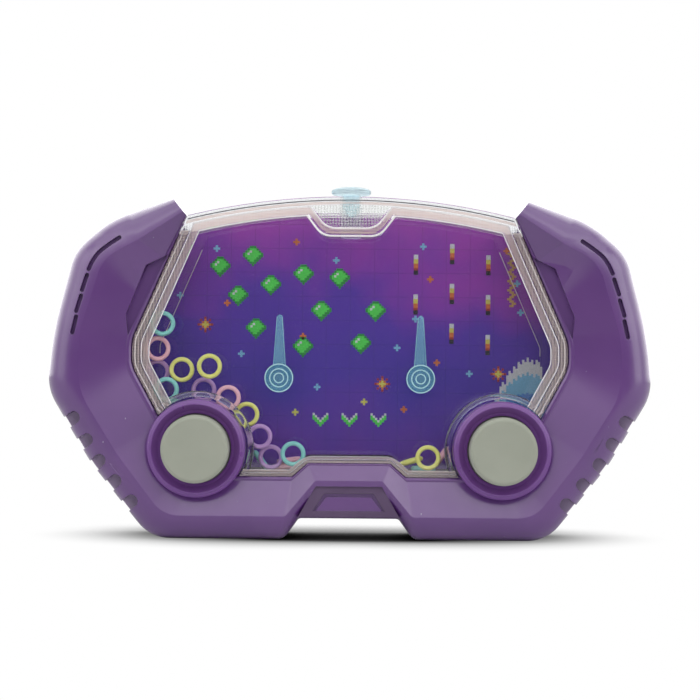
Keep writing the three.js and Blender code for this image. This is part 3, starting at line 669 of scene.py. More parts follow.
class Nodes:
    """The nodes of a material or the world. A material's place is the piece's own, in metres."""

    def __init__(self, owner, coordinate="Object"):
        owner.use_nodes = True
        self.owner = owner
        self.tree = owner.node_tree
        self.tree.nodes.clear()
        self.place = self.node("TexCoord").outputs[coordinate]

    def node(self, kind, inputs=None, **settings):
        made = self.tree.nodes.new("ShaderNode" + kind)
        for key, value in settings.items():
            setattr(made, key, value)
        for key, value in (inputs or {}).items():
            if isinstance(value, bpy.types.Node):
                value = value.outputs[0]
            if isinstance(value, bpy.types.NodeSocket):
                self.tree.links.new(value, made.inputs[key])
            else:
                made.inputs[key].default_value = value
        return made

    def axes(self):
        return self.node("SeparateXYZ", {0: self.place}).outputs

    def math(self, operation, a, b=0.0):
        return self.node("Math", {0: a, 1: b}, operation=operation).outputs[0]

    def noise(self, size_mm, detail=2.0, roughness=0.5):
        scale = 1 / (size_mm * MM)
        inputs = {"Vector": self.place, "Scale": scale, "Detail": detail, "Roughness": roughness}
        return self.node("TexNoise", inputs).outputs["Fac"]

    def span(self, value, low, high, to_low, to_high, kind="LINEAR"):
        inputs = {"Value": value, "From Min": low, "From Max": high,
                  "To Min": to_low, "To Max": to_high}
        return self.node("MapRange", inputs, interpolation_type=kind).outputs["Result"]

    def vary(self, size_mm, detail, low, high, reach=0.2):
        """Noise spread between two levels."""
        return self.span(self.noise(size_mm, detail), 0.5 - reach, 0.5 + reach, low, high)

    def blend(self, factor, first, second):
        """Mixes two colours, each a socket or an sRGB triple."""
        made = self.node("Mix", data_type="RGBA")
        sockets = {"Factor_Float": factor, "A_Color": first, "B_Color": second}
        for target in made.inputs:
            value = sockets.get(target.identifier)
            if isinstance(value, bpy.types.NodeSocket):
                self.tree.links.new(value, target)
            elif value:
                target.default_value = linear(*value)
        return next(o for o in made.outputs if o.identifier == "Result_Color")

    def bump(self, height, distance_mm, strength=1.0, normal=None):
        inputs = {"Height": height, "Distance": distance_mm * MM, "Strength": strength}
        if normal:
            inputs["Normal"] = normal
        return self.node("Bump", inputs).outputs["Normal"]

    def soft_edges(self, radius_mm):
        return self.node("Bevel", {"Radius": radius_mm * MM}, samples=6).outputs["Normal"]

    def surface(self, colour, roughness, **more):
        """A Principled surface; an underscore in an input's name stands for a space."""
        inputs = {"Base Color": colour, "Roughness": roughness}
        inputs.update((key.replace("_", " "), value) for key, value in more.items())
        return self.node("BsdfPrincipled", inputs)

    def finish(self, shader, kind="Material"):
        self.node("Output" + kind, {"Surface": shader})
        return self.owner


def material(name):
    return Nodes(bpy.data.materials.new(name))


def moulded(name, colour, other, roughness, grain_mm=0.35, grain_height=0.012, edge_mm=0.35,
            coat=0.0):
    """Opaque moulded plastic or rubber: fine grain, slight mottling and worn gloss."""
    made = material(name)
    dust = made.span(made.noise(1.1, 1), 0.80, 0.84, 0, 0.35)
    colour = made.blend(made.vary(14, 3, 0, 1, 0.15), colour, other)
    colour = made.blend(dust, colour, (214, 210, 218))
    rub = made.vary(3.5, 4, roughness - 0.05, roughness + 0.06)
    normal = made.soft_edges(edge_mm) if edge_mm else None
    normal = made.bump(made.noise(grain_mm, 2), grain_height, 0.6, normal)
    return made.finish(made.surface(colour, rub, Normal=normal, Coat_Weight=coat,
                                    Coat_Roughness=0.18))


def clear(name, tint, roughness, knurl=False, ior=1.49, passes=1.0, streaks=0.0, dots=0.0):
    """Clear plastic. Shadow rays pass straight through, tinted. A share that passes under 1 is
    milky, and streaks and dots make that share vary from place to place."""
    made = material(name)
    wave = made.bump(made.noise(6, 2), 0.03, 0.35)
    if knurl:
        wave = made.bump(knurled_band(made), 0.05, 0.5, wave)
    haze = made.vary(2.5, 3, roughness, roughness + 0.03)
    share = passes
    if streaks:
        share = made.vary(4, 2, passes - streaks, passes + streaks, 0.15)
    if dots:
        share = made.math("ADD", share, made.math("MULTIPLY", dot_grid(made, 0.8), dots))
    plastic = made.surface(linear(*tint), haze, Normal=wave, IOR=ior, Transmission_Weight=share)
    passing = made.node("BsdfTransparent", {"Color": linear(*tint)})
    is_shadow = made.node("LightPath").outputs["Is Shadow Ray"]
    return made.finish(made.node("MixShader", {0: is_shadow, 1: plastic, 2: passing}))


def dot_grid(made, pitch_mm):
    """A chequered wave between -1 and 1 across the face."""
    axes = made.axes()
    turn = math.pi / (pitch_mm * MM)
    cross = [made.math("SINE", made.math("MULTIPLY", made.math(way, axes["X"], axes["Z"]), turn))
             for way in ("ADD", "SUBTRACT")]
    return made.math("MULTIPLY", cross[0], cross[1])


def knurled_band(made):
    """Small pyramids on the window's two lower steps and round the filler, and none elsewhere."""
    grid = dot_grid(made, 0.42)
    depth = made.axes()["Y"]
    shelf = (PARTING - WINDOW_DEPTH + WINDOW_STEPS[0][1]) * MM
    below = made.span(depth, shelf - 0.08 * MM, shelf - 0.04 * MM, 0, 1)
    above = made.span(depth, shelf + 0.42 * MM, shelf + 0.5 * MM, 1, 0)
    return made.math("MULTIPLY", grid, made.math("MULTIPLY", below, above))


CARD_GRID = 6.6
CARD_GRID_LINE = 0.10


def printed_ground():
    """The card's print: a purple sky that deepens downwards, with a faint grid and print grain."""
    made = material("printed_card")
    axes = made.axes()
    level = made.math("ADD", made.span(axes["Z"], 20 * MM, 86 * MM, 0, 1),
                      made.vary(26, 3, -0.16, 0.16))
    level = made.math("ADD", level, made.span(axes["X"], 8 * MM, 42 * MM, 0, 0.12))
    colour = (110, 46, 182)
    for start, stop, above in ((0.02, 0.30, (84, 48, 186)), (0.40, 0.66, (98, 46, 192)),
                               (0.60, 1.02, (184, 60, 200))):
        colour = made.blend(made.span(level, start, stop, 0, 1), colour, above)
    lines = [made.math("LESS_THAN", made.math("PINGPONG", axes[k], CARD_GRID / 2 * MM),
                       CARD_GRID_LINE * MM) for k in ("X", "Z")]
    grid = made.math("MULTIPLY", made.math("MAXIMUM", lines[0], lines[1]), 0.24)
    colour = made.blend(grid, colour, (30, 20, 72))
    colour = made.blend(made.vary(0.25, 1, 0, 0.06), colour, (160, 90, 200))
    return made.finish(made.surface(colour, 0.5))


def ink(name, colour):
    made = material(name)
    darker = tuple(0.6 * value for value in colour)
    return made.finish(made.surface(made.blend(made.vary(0.3, 1, 0, 0.22), colour, darker), 0.5))


def zinc(name):
    made = material(name)
    brushed = made.noise(0.5, 4, 0.7)
    rub = made.span(brushed, 0.3, 0.7, 0.25, 0.45)
    colour = made.blend(made.noise(2, 3), (150, 152, 156), (186, 186, 182))
    normal = made.bump(brushed, 0.02, 0.5, made.soft_edges(0.15))
    return made.finish(made.surface(colour, rub, Metallic=1.0, Normal=normal))


def soft_plastic(name, colour, other):
    """The rings' slightly see-through plastic."""
    made = material(name)
    shade = made.blend(made.vary(2.2, 2, 0, 1), colour, other)
    normal = made.bump(made.noise(0.5, 2), 0.01, 0.4)
    return made.finish(made.surface(
        shade, made.vary(1.2, 3, 0.30, 0.42), Normal=normal, Subsurface_Weight=0.25,
        Subsurface_Radius=(1.0, 1.0, 1.0), Subsurface_Scale=0.8 * MM,
    ))


PURPLE = moulded("purple_plastic", (100, 56, 128), (94, 51, 123), 0.36, coat=1.0)
# The plate's frame: the housing's purple made greyer and darker, which is painted shade, with a
# matter finish.
FRAME_PAINTED_SHADE = moulded("plate_plastic_painted_shade", (92, 72, 104), (86, 66, 98), 0.6, grain_height=0.02)
# The collars: the housing's purple made lighter, which is painted light on the shaded collars and
# their dishes, with a smoother finish.
COLLAR_PAINTED_LIGHT = moulded("collar_plastic_painted_light", (116, 66, 146), (110, 62, 141), 0.32,
                        grain_height=0.003, edge_mm=0.3, coat=0.4)
# The notches' floors: a pale lilac, which is painted light on floors that lie in shade.
NOTCH_PAINTED_LIGHT = moulded("notch_plastic_painted_light", (190, 172, 202), (182, 164, 194), 0.5, grain_height=0.02)
SAGE = moulded("button_rubber", (166, 170, 156), (160, 164, 150), 0.62,
               grain_mm=0.5, grain_height=0.02, edge_mm=0.2)
DARK_RUBBER = moulded("bulb_rubber", (62, 62, 66), (54, 54, 58), 0.7, grain_height=0.02, edge_mm=0)
WHITE = moulded("white_plastic", (228, 230, 232), (220, 223, 226), 0.4,
                grain_height=0.004, edge_mm=0)
CLEAR = clear("clear_plastic", (250, 251, 252), 0.015, knurl=True)
# Window lines: milky sheets as painted highlights, and a dark one as painted shade. The faint look
# also makes the weld line.
PAINTED_HIGHLIGHT_LINE = clear("line_painted_highlight", (255, 252, 252), 0.30, passes=0.16, streaks=0.12)
FAINT_WELD_AND_HIGHLIGHT = clear("line_faint_weld_and_highlight", (252, 242, 240), 0.30, passes=0.40, streaks=0.16)
PAINTED_SHADE_LINE = clear("line_painted_shade", (96, 72, 92), 0.30, passes=0.5, streaks=0.2)
BAND = clear("window_band", (250, 236, 232), 0.30, passes=0.84, dots=0.32)
FILLER_DOTS = clear("filler_dots", (250, 250, 248), 0.12, ior=1.1, passes=0.88, dots=0.24)
BORE = clear("port_frosted", (236, 242, 242), 0.35, ior=1.06, passes=0.92)
SEAM = clear("crown_seam", (104, 102, 110), 0.30, passes=0.45, streaks=0.3)
SKY_CLEAR = clear("peg_plastic", (176, 240, 250), 0.04, passes=0.84)
# Pale lines along the pegs' edges, which are painted highlights.
SKY_PAINTED_HIGHLIGHT = clear("peg_edge", (214, 246, 252), 0.20, passes=0.30)
STOPPER = clear("stopper_rubber", (222, 240, 246), 0.40, ior=1.10, passes=0.84)
STEEL = zinc("screw_steel")
RING_LOOKS = {
    "cyan": soft_plastic("ring_cyan", (146, 214, 208), (132, 202, 198)),
    "pink": soft_plastic("ring_pink", (240, 188, 200), (232, 176, 190)),
    "lilac": soft_plastic("ring_lilac", (192, 152, 206), (180, 140, 198)),
    "yellow": soft_plastic("ring_yellow", (236, 234, 140), (226, 224, 122)),
}


def place(obj, name, look, nodes=(), body="case"):
    """Brings a solid into the row frame and gives it its name, looks and body."""
    obj.name = name
    obj.data.name = name
    obj.data.transform(Matrix.Translation(row_point(0, 0, 0)) @ Matrix.Scale(MM, 4))
    obj.data.shade_smooth()
    obj.data.set_sharp_from_angle(angle=SHARP_ANGLE)
    obj.modifiers.new("even_normals", "WEIGHTED_NORMAL").keep_sharp = True
    obj.data.materials.clear()
    for layer in look if isinstance(look, list) else [look]:
        obj.data.materials.append(layer)
    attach(obj, body)
    if nodes:
        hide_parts(*nodes)
    return obj


# Front housing
def front_form():
    edge, ridge, lip = (rounded(outline, False) for outline in (EDGE, RIDGE, LIP))
    rise = RIDGE_DEPTH - FLAT_DEPTH
    foot = -SEAM_GAP / 2
    loops = []
    for outer, top, inner in zip(edge, ridge, lip):
        roll = []
        for angle in quarter(ROLL_STEPS):
            x, z = between(outer, top, 1 - math.cos(angle))
            roll.append((x, -(FLAT_DEPTH + rise * math.sin(angle)), z))
        slope = []
        for share, proud in LIP_BEAD:
            x, z = between(top, inner, share)
            slope.append((x, -(RIDGE_DEPTH + (LIP_DEPTH - RIDGE_DEPTH) * share + proud), z))
        loops.append([(outer[0], foot, outer[1]), *roll, *slope, (inner[0], foot, inner[1])])
    return loft(loops)


def shortened(points, distance):
    first = towards(points[0], points[1], distance)
    return [first, *points[1:-1], towards(points[-1], points[-2], distance)]


def front_void():
    edge, ridge, lip = (
        shortened(rounded(outline, False), HOUSING_WALL) for outline in (EDGE, RIDGE, LIP)
    )
    rise = RIDGE_DEPTH - HOUSING_WALL - FLAT_DEPTH
    loops = []
    for outer, top, inner in zip(edge, ridge, lip):
        wall = towards(outer, top, HOUSING_WALL)
        bend = between(wall, top, VOID_BEND_SHARE)
        past = towards(inner, top, -CLEARANCE)
        loops.append([
            (wall[0], OVERRUN, wall[1]),
            (wall[0], -FLAT_DEPTH, wall[1]),
            (bend[0], -(FLAT_DEPTH + rise * VOID_RISE_SHARE), bend[1]),
            (top[0], HOUSING_WALL - RIDGE_DEPTH, top[1]),
            (inner[0], LIP_THICKNESS - LIP_DEPTH, inner[1]),
            (past[0], LIP_THICKNESS - LIP_DEPTH, past[1]),
            (past[0], OVERRUN, past[1]),
        ])
    return loft(loops)


def front_housing():
    form = front_form()
    whole = duplicate(form)
    front = -(RIDGE_DEPTH + OVERRUN)
    parting = -SEAM_GAP / 2
    recesses = [[side_point(side, share) for share in RECESS_SHARES] for side in SIDES]
    vents = [strip(smooth_path([side_point(side, share) for share in path]), VENT_WIDTH)
             for side in SIDES for path in VENT_SHARES]
    shell = cut(form, [front_void()])
    backs = kept_within(whole, [
        *screw_rods(FRONT_POST_RADIUS, front, parting, BORE_STEPS),
        *notches(NOTCH_WALL, front, parting),
        *[slab(shape, front, RECESS_BACKING - RECESS_FLOOR) for shape in recesses],
    ])
    plate = slab(plate_outline(PLATE_SHARES), -PLATE_DEPTH, -FLAT_DEPTH)
    plate_floor = PLATE_RECESS - PLATE_DEPTH
    pad = slab(plate_outline(PAD_SHARES), plate_floor - PAD_HEIGHT, plate_floor + OVERRUN)
    return cut(joined([shell, *backs, plate]), [
        tank_region(0, -OVERRUN, -COLLAR_REAR, OVERRUN),
        *pump_rods(WELL_OUTER + CLEARANCE, -COLLAR_REAR, OVERRUN),
        *pump_rods(BUTTON_RADIUS + BUTTON_FLANGE + CLEARANCE, front, 0),
        *screw_rods(SCREW_SHANK_RADIUS + CLEARANCE, POST_FLOOR - SCREW_LENGTH - CLEARANCE, OVERRUN,
                    HOLE_STEPS),
        *notches(0, front, -NOTCH_FLOOR),
        *[slab(shape, front, -VENT_FLOOR) for shape in vents],
        *[slab(shape, front, -RECESS_FLOOR) for shape in recesses],
        slab(plate_outline(PLATE_SHARES), front, -PLATE_DEPTH),
        cut(slab(plate_outline(PLATE_RECESS_SHARES), front, plate_floor), [pad]),
    ])


def collar(side):
    hole = BUTTON_RADIUS + CLEARANCE
    shoulder = hole + BUTTON_FLANGE
    rim = COLLAR_RIM_ROUND
    turn = COLLAR_RADIUS - COLLAR_RIM_RADIUS
    return turned([
        (shoulder, -COLLAR_SKIRT), (shoulder, -COLLAR_SHOULDER), (hole, -COLLAR_SHOULDER),
        (hole, -COLLAR_DISH), (hole + COLLAR_DISH_STEP[0], -(COLLAR_DISH + COLLAR_DISH_STEP[1])),
        *arc(COLLAR_RIM_RADIUS - rim, rim - COLLAR_RIM, rim, 130, 50),
        *arc(COLLAR_RIM_RADIUS, turn * COLLAR_FALL - COLLAR_RIM, turn, 80, 0),
        (COLLAR_RADIUS, -COLLAR_SKIRT),
    ], side * PUMP_X, PUMP_Z)


def lies_at(obj, face, depth):
    """Whether a face is flat at a depth."""
    level = (PARTING - depth) * MM
    return all(abs(obj.data.vertices[i].co.y - level) < 0.02 * MM for i in face.vertices)


front_shell = place(front_housing(), "front_shell", [PURPLE, FRAME_PAINTED_SHADE, NOTCH_PAINTED_LIGHT],
                    ["front_housing"])
for face in front_shell.data.polygons:
    middle = abs(face.center.x) / MM
    # Faces of the plate's frame get the painted shade look.
    if middle < PLATE_SHARES[0][0] * HALF_WIDTH and lies_at(front_shell, face, PLATE_DEPTH):
        face.material_index = 1
    # Notch floors get the painted light look.
    elif middle > PUMP_X + WELL_RADIUS and lies_at(front_shell, face, NOTCH_FLOOR):
        face.material_index = 2
for side, name in NAMED_SIDES:
    place(collar(side), f"collar_{name}", COLLAR_PAINTED_LIGHT)


# Rear housing
def rear_form(insets):
    closed = [*EDGE, *reversed(with_mirror(sized(REAR_TOP_SHARES)))]
    return loft([at_depth(rounded(offset_outline(closed, -inset, True), True), y)
                 for inset, y in insets])


def rear_housing():
    parting = SEAM_GAP / 2
    behind = REAR_DEPTH + OVERRUN
    rise = REAR_DEPTH - REAR_FLAT_DEPTH
    roll = [(REAR_ROUND * (1 - math.cos(t)), REAR_FLAT_DEPTH + rise * math.sin(t))
            for t in quarter(10)]
    form = rear_form([(0, parting), *roll])
    whole = duplicate(form)
    tray = rear_form([
        (HOUSING_WALL, -OVERRUN), (HOUSING_WALL, REAR_FLAT_DEPTH),
        (HOUSING_WALL + REAR_ROUND / 2, REAR_DEPTH - HOUSING_WALL),
    ])
    reach = RIB_HALF_SHARE * HALF_WIDTH
    half = RIB_THICKNESS / 2
    fillings = kept_within(whole, [
        *screw_rods(POST_RADIUS, parting, REAR_DEPTH, POST_STEPS),
        *notches(NOTCH_WALL, parting, REAR_DEPTH),
        *[block(-reach, reach, CARD_REAR + CLEARANCE, REAR_DEPTH - HOUSING_WALL / 2,
                share * HEIGHT - half, share * HEIGHT + half) for share in RIB_SHARES],
    ])
    return cut(joined([cut(form, [tray]), *fillings]), [
        tank_region(TANK_FLANGE + CLEARANCE, -OVERRUN, -OVERRUN, CARD_REAR + CLEARANCE),
        *screw_rods(SCREW_HEAD_RADIUS + CLEARANCE, POST_FLOOR, behind, POST_STEPS),
        *screw_rods(SCREW_SHANK_RADIUS + CLEARANCE, -OVERRUN, behind, HOLE_STEPS),
        *notches(0, NOTCH_FLOOR, behind),
    ])


place(rear_housing(), "rear_shell", PURPLE, ["rear_housing"])


# Tank
def tank_front():
    shelf = WINDOW_SHELF - WINDOW_DEPTH
    envelope = joined([
        tank_region(-WINDOW_FIT, 0, shelf, CAVITY_BACK, WINDOW_BEVEL, WINDOW_BEVEL_DROP),
        tank_flange(-FLANGE_DEPTH, CAVITY_BACK),
        *[window_panel(inset, grow, down - WINDOW_DEPTH, WINDOW_SHELF + STEP_OVERLAP - WINDOW_DEPTH)
          for inset, down, grow in WINDOW_STEPS],
        *pump_rods(WELL_OUTER, shelf, CAVITY_BACK),
    ])
    whole = duplicate(envelope)
    wedge_top = PUMP_Z + WEDGE_TOP_RISE
    fillings = kept_within(whole, [
        *pump_rods(WELL_OUTER, -WINDOW_DEPTH, -WELL_FLOOR_REAR),
        *[slab([
            (side * (PUMP_X - WEDGE_TOP_REACH), wedge_top),
            (side * (PUMP_X - WEDGE_FOOT_REACH), 0), (side * PUMP_X, 0), (side * PUMP_X, wedge_top),
        ], -WINDOW_DEPTH, CAVITY_BACK) for side in SIDES],
        slab(filler_outline(), -WINDOW_DEPTH, CAVITY_BACK),
    ])
    hollow = tank_region(TANK_FLANGE - TANK_WALL, CROWN_WALL, -CAVITY_FRONT, CAVITY_BACK + OVERRUN)
    port = post(STOPPER_PLUG_RADIUS + CLEARANCE, HEIGHT - FILLER_DROP - OVERRUN, HEIGHT + OVERRUN,
                0, -FILLER_DEPTH)
    return cut(joined([cut(envelope, [hollow]), *fillings]), [
        *pump_rods(WELL_RADIUS, -(WINDOW_DEPTH + OVERRUN), -WELL_FLOOR_FRONT),
        *pump_rods(WELL_RADIUS, -WELL_FLOOR_REAR, CAVITY_BACK + OVERRUN),
        *pump_rods(WELL_PORT_RADIUS, -WINDOW_DEPTH, CAVITY_BACK),
        port,
    ])


def in_port(at):
    """Whether a point of the window lies on the filler port's wall."""
    reach = (STOPPER_PLUG_RADIUS + CLEARANCE + 0.05) * MM
    return math.hypot(at.x, at.y - (PARTING - FILLER_DEPTH) * MM) < reach


window = place(tank_front(), "tank_window", [CLEAR, BORE], ["tank_front"])
for face in window.data.polygons:
    face.material_index = int(all(in_port(window.data.vertices[i].co) for i in face.vertices))
tank_back = joined([
    tank_region(-WINDOW_FIT, 0, BACK_PLATE_FRONT, BACK_PLATE_REAR),
    tank_flange(BACK_PLATE_FRONT, BACK_PLATE_REAR),
    *pump_rods(WELL_OUTER, BACK_PLATE_FRONT, BACK_PLATE_REAR),
])
place(tank_back, "tank_rear_plate", CLEAR, ["tank_back"])

# Thin sheets on the window: lines along its steps that paint highlights (bright and faint looks)
# and shade (dim look), over a slightly milky band
SHELF = WINDOW_SHELF - WINDOW_DEPTH
STEP = WINDOW_STEPS[0][1] - WINDOW_DEPTH


def below_crown():
    return block(-HALF_WIDTH, HALF_WIDTH, -2 * WINDOW_DEPTH, 0, 0, BAND_TOP)


def window_sheet(name, inset, width, grow, depth, look, low=False, grown=None):
    """A line of even width, as far in from the lip as inset, that leaves out the filler's outline.
    A low one ends below the crown."""
    past = (depth - CUT_PAST, depth + CUT_PAST)
    sheet = cut(window_panel(inset, grow, depth, depth + SHEET), [
        window_panel(inset + width, grow + (grown or 2 * width), *past),
        *pump_rods(BEAD_RADIUS - BEAD_OVERLAP, *past),
    ])
    if low:
        sheet = shared(sheet, below_crown())
    return place(sheet, name, look)


def crown_sheet(name, inset, top, foot, front, back, look, cutters=()):
    """A sheet along the crown, between two drops below its top."""
    sheet = cut(tank_region(-WINDOW_FIT - inset, top, front, back), [
        tank_region(-WINDOW_FIT, foot, SHELF - CUT_PAST, SHELF + CUT_PAST), *cutters,
    ])
    return place(sheet, name, look)


window_sheet("window_band_outer", 0.05, 2.1, -4.8, SHELF - BAND_LIFT, BAND, True)
crown_sheet("crown_band", 0.5, 1.35, 2.1, SHELF - BAND_LIFT, SHELF + BAND_LIFT, BAND,
            [below_crown()])
filler_face = slab(filler_outline(-2.6), SHELF - BAND_LIFT, SHELF + BAND_LIFT)
filler_face = shared(filler_face, tank_region(-WINDOW_FIT, 2.3, -WINDOW_DEPTH, 0))
place(filler_face, "filler_face", FILLER_DOTS)
window_sheet("window_band_inner", 2.65, 1.75, -2.3, STEP - BAND_LIFT, BAND, grown=1.5)
# Each line: inset, width, growth of the filler's cut, depth, look, low
for number, (inset, width, grow, depth, look, low) in enumerate([
    (0.20, 0.16, -4.6, SHELF, PAINTED_SHADE_LINE, True),
    (0.62, 0.30, -4.4, SHELF, PAINTED_HIGHLIGHT_LINE, True),
    (1.22, 0.14, -4.2, SHELF, PAINTED_SHADE_LINE, True),
    (1.95, 0.16, -3.6, SHELF, PAINTED_SHADE_LINE, True),
    (2.34, 0.34, -2.6, STEP, PAINTED_HIGHLIGHT_LINE, False),
    (3.00, 0.12, -2.0, STEP, PAINTED_SHADE_LINE, True),
    (3.56, 0.14, -1.4, STEP, FAINT_WELD_AND_HIGHLIGHT, False),
    (4.46, 0.34, -0.5, -WINDOW_DEPTH, PAINTED_HIGHLIGHT_LINE, False),
], 1):
    window_sheet(f"window_line_{number}", inset, width, grow, depth - LINE_LIFT, look, low)
crown_sheet("crown_seam", 0.5, SEAM_DROP, SEAM_DROP + SEAM_WIDTH, SHELF - LINE_LIFT, SHELF + 0.02,
            SEAM)
weld_front, weld_back = CAVITY_BACK + BAND_LIFT, BACK_PLATE_FRONT - BAND_LIFT
weld = cut(window_panel(WELD_INSET, WELD_GROW, weld_front, weld_back), [
    window_panel(WELD_INSET + WELD_WIDTH, WELD_GROW + 2 * WELD_WIDTH, CAVITY_BACK - CUT_PAST,
                 BACK_PLATE_FRONT + CUT_PAST),
    *[block(-reach, reach, -OVERRUN, CARD_REAR, foot, top) for reach, foot, top in (
        (WELD_HALF, -OVERRUN, HEIGHT + OVERRUN), (HALF_WIDTH, WELD_TOP, HEIGHT + OVERRUN),
        (HALF_WIDTH, -OVERRUN, WELD_FOOT),
    )],
])
place(weld, "weld_line", FAINT_WELD_AND_HIGHLIGHT)

# Rounded beads of clear plastic round the pumps
for side, name in NAMED_SIDES:
    foot = BEAD_FOOT - WINDOW_DEPTH
    crown = arc(BEAD_RADIUS + BEAD_OUT, -WINDOW_DEPTH, BEAD_ROUND, 0, 180, 12)
    bead = turned([(crown[0][0], foot), *crown, (crown[-1][0], foot)], side * PUMP_X, PUMP_Z)
    bead = shared(bead, tank_region(-WINDOW_FIT - BEAD_INSET, BEAD_INSET,
                                    -(WINDOW_DEPTH + CUT_PAST), foot))
    place(bead, f"tank_bead_{name}", CLEAR)

# Card
card = tank_region(TANK_FLANGE - CARD_INSET, CARD_TOP_DROP, CARD_FRONT, CARD_REAR)
place(card, "card", printed_ground(), ["background_card"])

# The card's own print: stepped motifs on a small square grid, of this part's own design
PIXEL = 0.62
PRINT_LIFT = 0.04
INKS = {
    "g": ink("print_green", (96, 250, 96)),
    "l": ink("print_leaf", (44, 170, 70)),
    "w": ink("print_white", (248, 246, 250)),
    "y": ink("print_yellow", (250, 236, 110)),
    "o": ink("print_orange", (250, 134, 66)),
    "r": ink("print_red", (196, 58, 58)),
    "k": ink("print_black", (34, 26, 44)),
    "s": ink("print_sky", (150, 214, 250)),
    "d": ink("print_deep", (88, 152, 236)),
    "t": ink("print_tan", (236, 180, 110)),
}
GEM = ["...lll...", "..lgggl..", ".lgwgggl.", "lgwgggggl", "lggggggll", ".lggggll.", "..lggll..",
       "...lll...", "....l...."]
CHEVRON = ["w.....w", "gw...wg", "ggw.wgg", ".ggwgg.", "..ggg..", "...g..."]
SPARK = ["...r...", ".r.o.r.", "..oyo..", "royyyor", "..oyo..", ".r.o.r.", "...r..."]
STAR = [".#.", "###", ".#."]
DASH = ["ww", "ww", "yy", "yy", "oo", "oo", "rr", "kk", "kk"]
PATH = ["tt..", ".tt.", "..tt", ".tt.", "tt..", ".tt.", "..tt", ".tt."]
GEM_PLACES = [(-36, 74), (-27, 77), (-31, 66), (-22, 69), (-13, 72), (-26, 57), (-8, 62), (-13, 52),
              (-3, 71), (3, 53), (7, 62)]
SPARK_PLACES = [(9, 42), (-40, 58), (41, 45)]
CHEVRON_PLACES = [(-8, 32), (0, 32), (8, 32)]
DASH_PLACES = [(38, 75), (38, 64), (38, 53), (28, 78), (28, 67), (28, 56), (18, 75), (18, 64)]
PATH_PLACES = [(44.5, 76), (44.5, 71), (44.5, 66)]
STARS = [
    (-37, 79, "s"), (-15, 81, "o"), (20, 80, "s"), (43, 79, "o"), (-47, 66, "s"), (18, 60, "s"),
    (-13, 55, "o"), (24, 48, "o"), (47, 62, "s"), (13, 52, "s"), (-9, 41, "s"), (-30, 50, "s"),
    (15, 35, "o"), (-4, 76, "s"), (33, 45, "s"), (22, 71, "o"), (-34, 64, "o"), (4, 37, "y"),
    (-15, 34, "y"), (46, 70, "s"),
]
HILL_HEIGHTS = [5, 9, 8, 13, 15, 14, 18, 20, 19, 22, 21, 24, 23, 25, 24, 26, 24, 25, 23, 25, 24, 22]
HILL_BANDS = [("d", 0.40), ("s", 0.35), ("w", 0.25)]
HILL_LEFT = 39.5
HILL_FOOT = 33.5


class Print:
    """Collects small squares of ink and makes them one thin sheet on the card."""

    def __init__(self):
        self.squares = []

    def picture(self, rows, x, z, hue=None):
        for down, row in enumerate(rows):
            for across, mark in enumerate(row):
                if mark != ".":
                    left = x + (across - len(row) / 2) * PIXEL
                    top = z + (len(rows) / 2 - down) * PIXEL
                    self.squares.append((left, top - PIXEL, PIXEL, hue or mark))

    def sheet(self, name, depth):
        keys = list(INKS)
        points, faces = [], []
        for x, z, height, _ in self.squares:
            start = len(points)
            right, top = x + PIXEL, z + height
            points += [(x, depth, z), (right, depth, z), (right, depth, top), (x, depth, top)]
            faces.append((start, start + 1, start + 2, start + 3))
        mesh = bpy.data.meshes.new(name)
        mesh.from_pydata(points, [], faces)
        place(add(name, mesh), name, list(INKS.values()))
        for face, square in zip(mesh.polygons, self.squares):
            face.material_index = keys.index(square[-1])


motifs = Print()
for rows, places in ((GEM, GEM_PLACES), (SPARK, SPARK_PLACES), (CHEVRON, CHEVRON_PLACES),
                     (DASH, DASH_PLACES), (PATH, PATH_PLACES)):
    for x, z in places:
        motifs.picture(rows, x, z)
for x, z, hue in STARS:
    motifs.picture(STAR, x, z, hue)
for i, height in enumerate(HILL_HEIGHTS):
    foot = HILL_FOOT
    for hue, share in HILL_BANDS:
        motifs.squares.append((HILL_LEFT + i * PIXEL, foot, share * height * PIXEL, hue))
        foot += share * height * PIXEL
motifs.sheet("card_motifs", CARD_FRONT - PRINT_LIFT)


# Pumps
def button(side):
    inner = BUTTON_RADIUS - BUTTON_WALL
    roof = BUTTON_FACE - BUTTON_WALL
    flange = COLLAR_SHOULDER - CLEARANCE
    flange_rear = BUTTON_FLANGE_THICKNESS - flange
    edge = BUTTON_RADIUS - BUTTON_ROUND
    return turned([
        *[(share * edge, deep - BUTTON_FACE) for share, deep in BUTTON_DISH],
        *arc(edge, BUTTON_ROUND - BUTTON_FACE, BUTTON_ROUND, 90, 0, 10),
        (BUTTON_RADIUS, -flange), (BUTTON_RADIUS + BUTTON_FLANGE, -flange),
        (BUTTON_RADIUS + BUTTON_FLANGE, flange_rear), (inner, flange_rear),
        (inner, -roof), (PLUNGER_RADIUS, -roof),
        (PLUNGER_RADIUS, -(BULB_TOP + CLEARANCE)), (0, -(BULB_TOP + CLEARANCE)),
    ], side * PUMP_X, PUMP_Z)


def bulb(side):
    flange_radius = WELL_RADIUS - CLEARANCE
    flange_top = BULB_BASE + BULB_FLANGE_THICKNESS
    inner = BULB_RADIUS - BULB_WALL

    def skin(radius, top):
        rise = top - flange_top
        return [(radius * math.sin(t), -(flange_top + rise * math.cos(t))) for t in quarter(12)]

    return turned([
        *skin(BULB_RADIUS, BULB_TOP), (flange_radius, -flange_top), (flange_radius, -BULB_BASE),
        (inner, -BULB_BASE), *reversed(skin(inner, BULB_TOP - BULB_WALL)),
    ], side * PUMP_X, PUMP_Z)


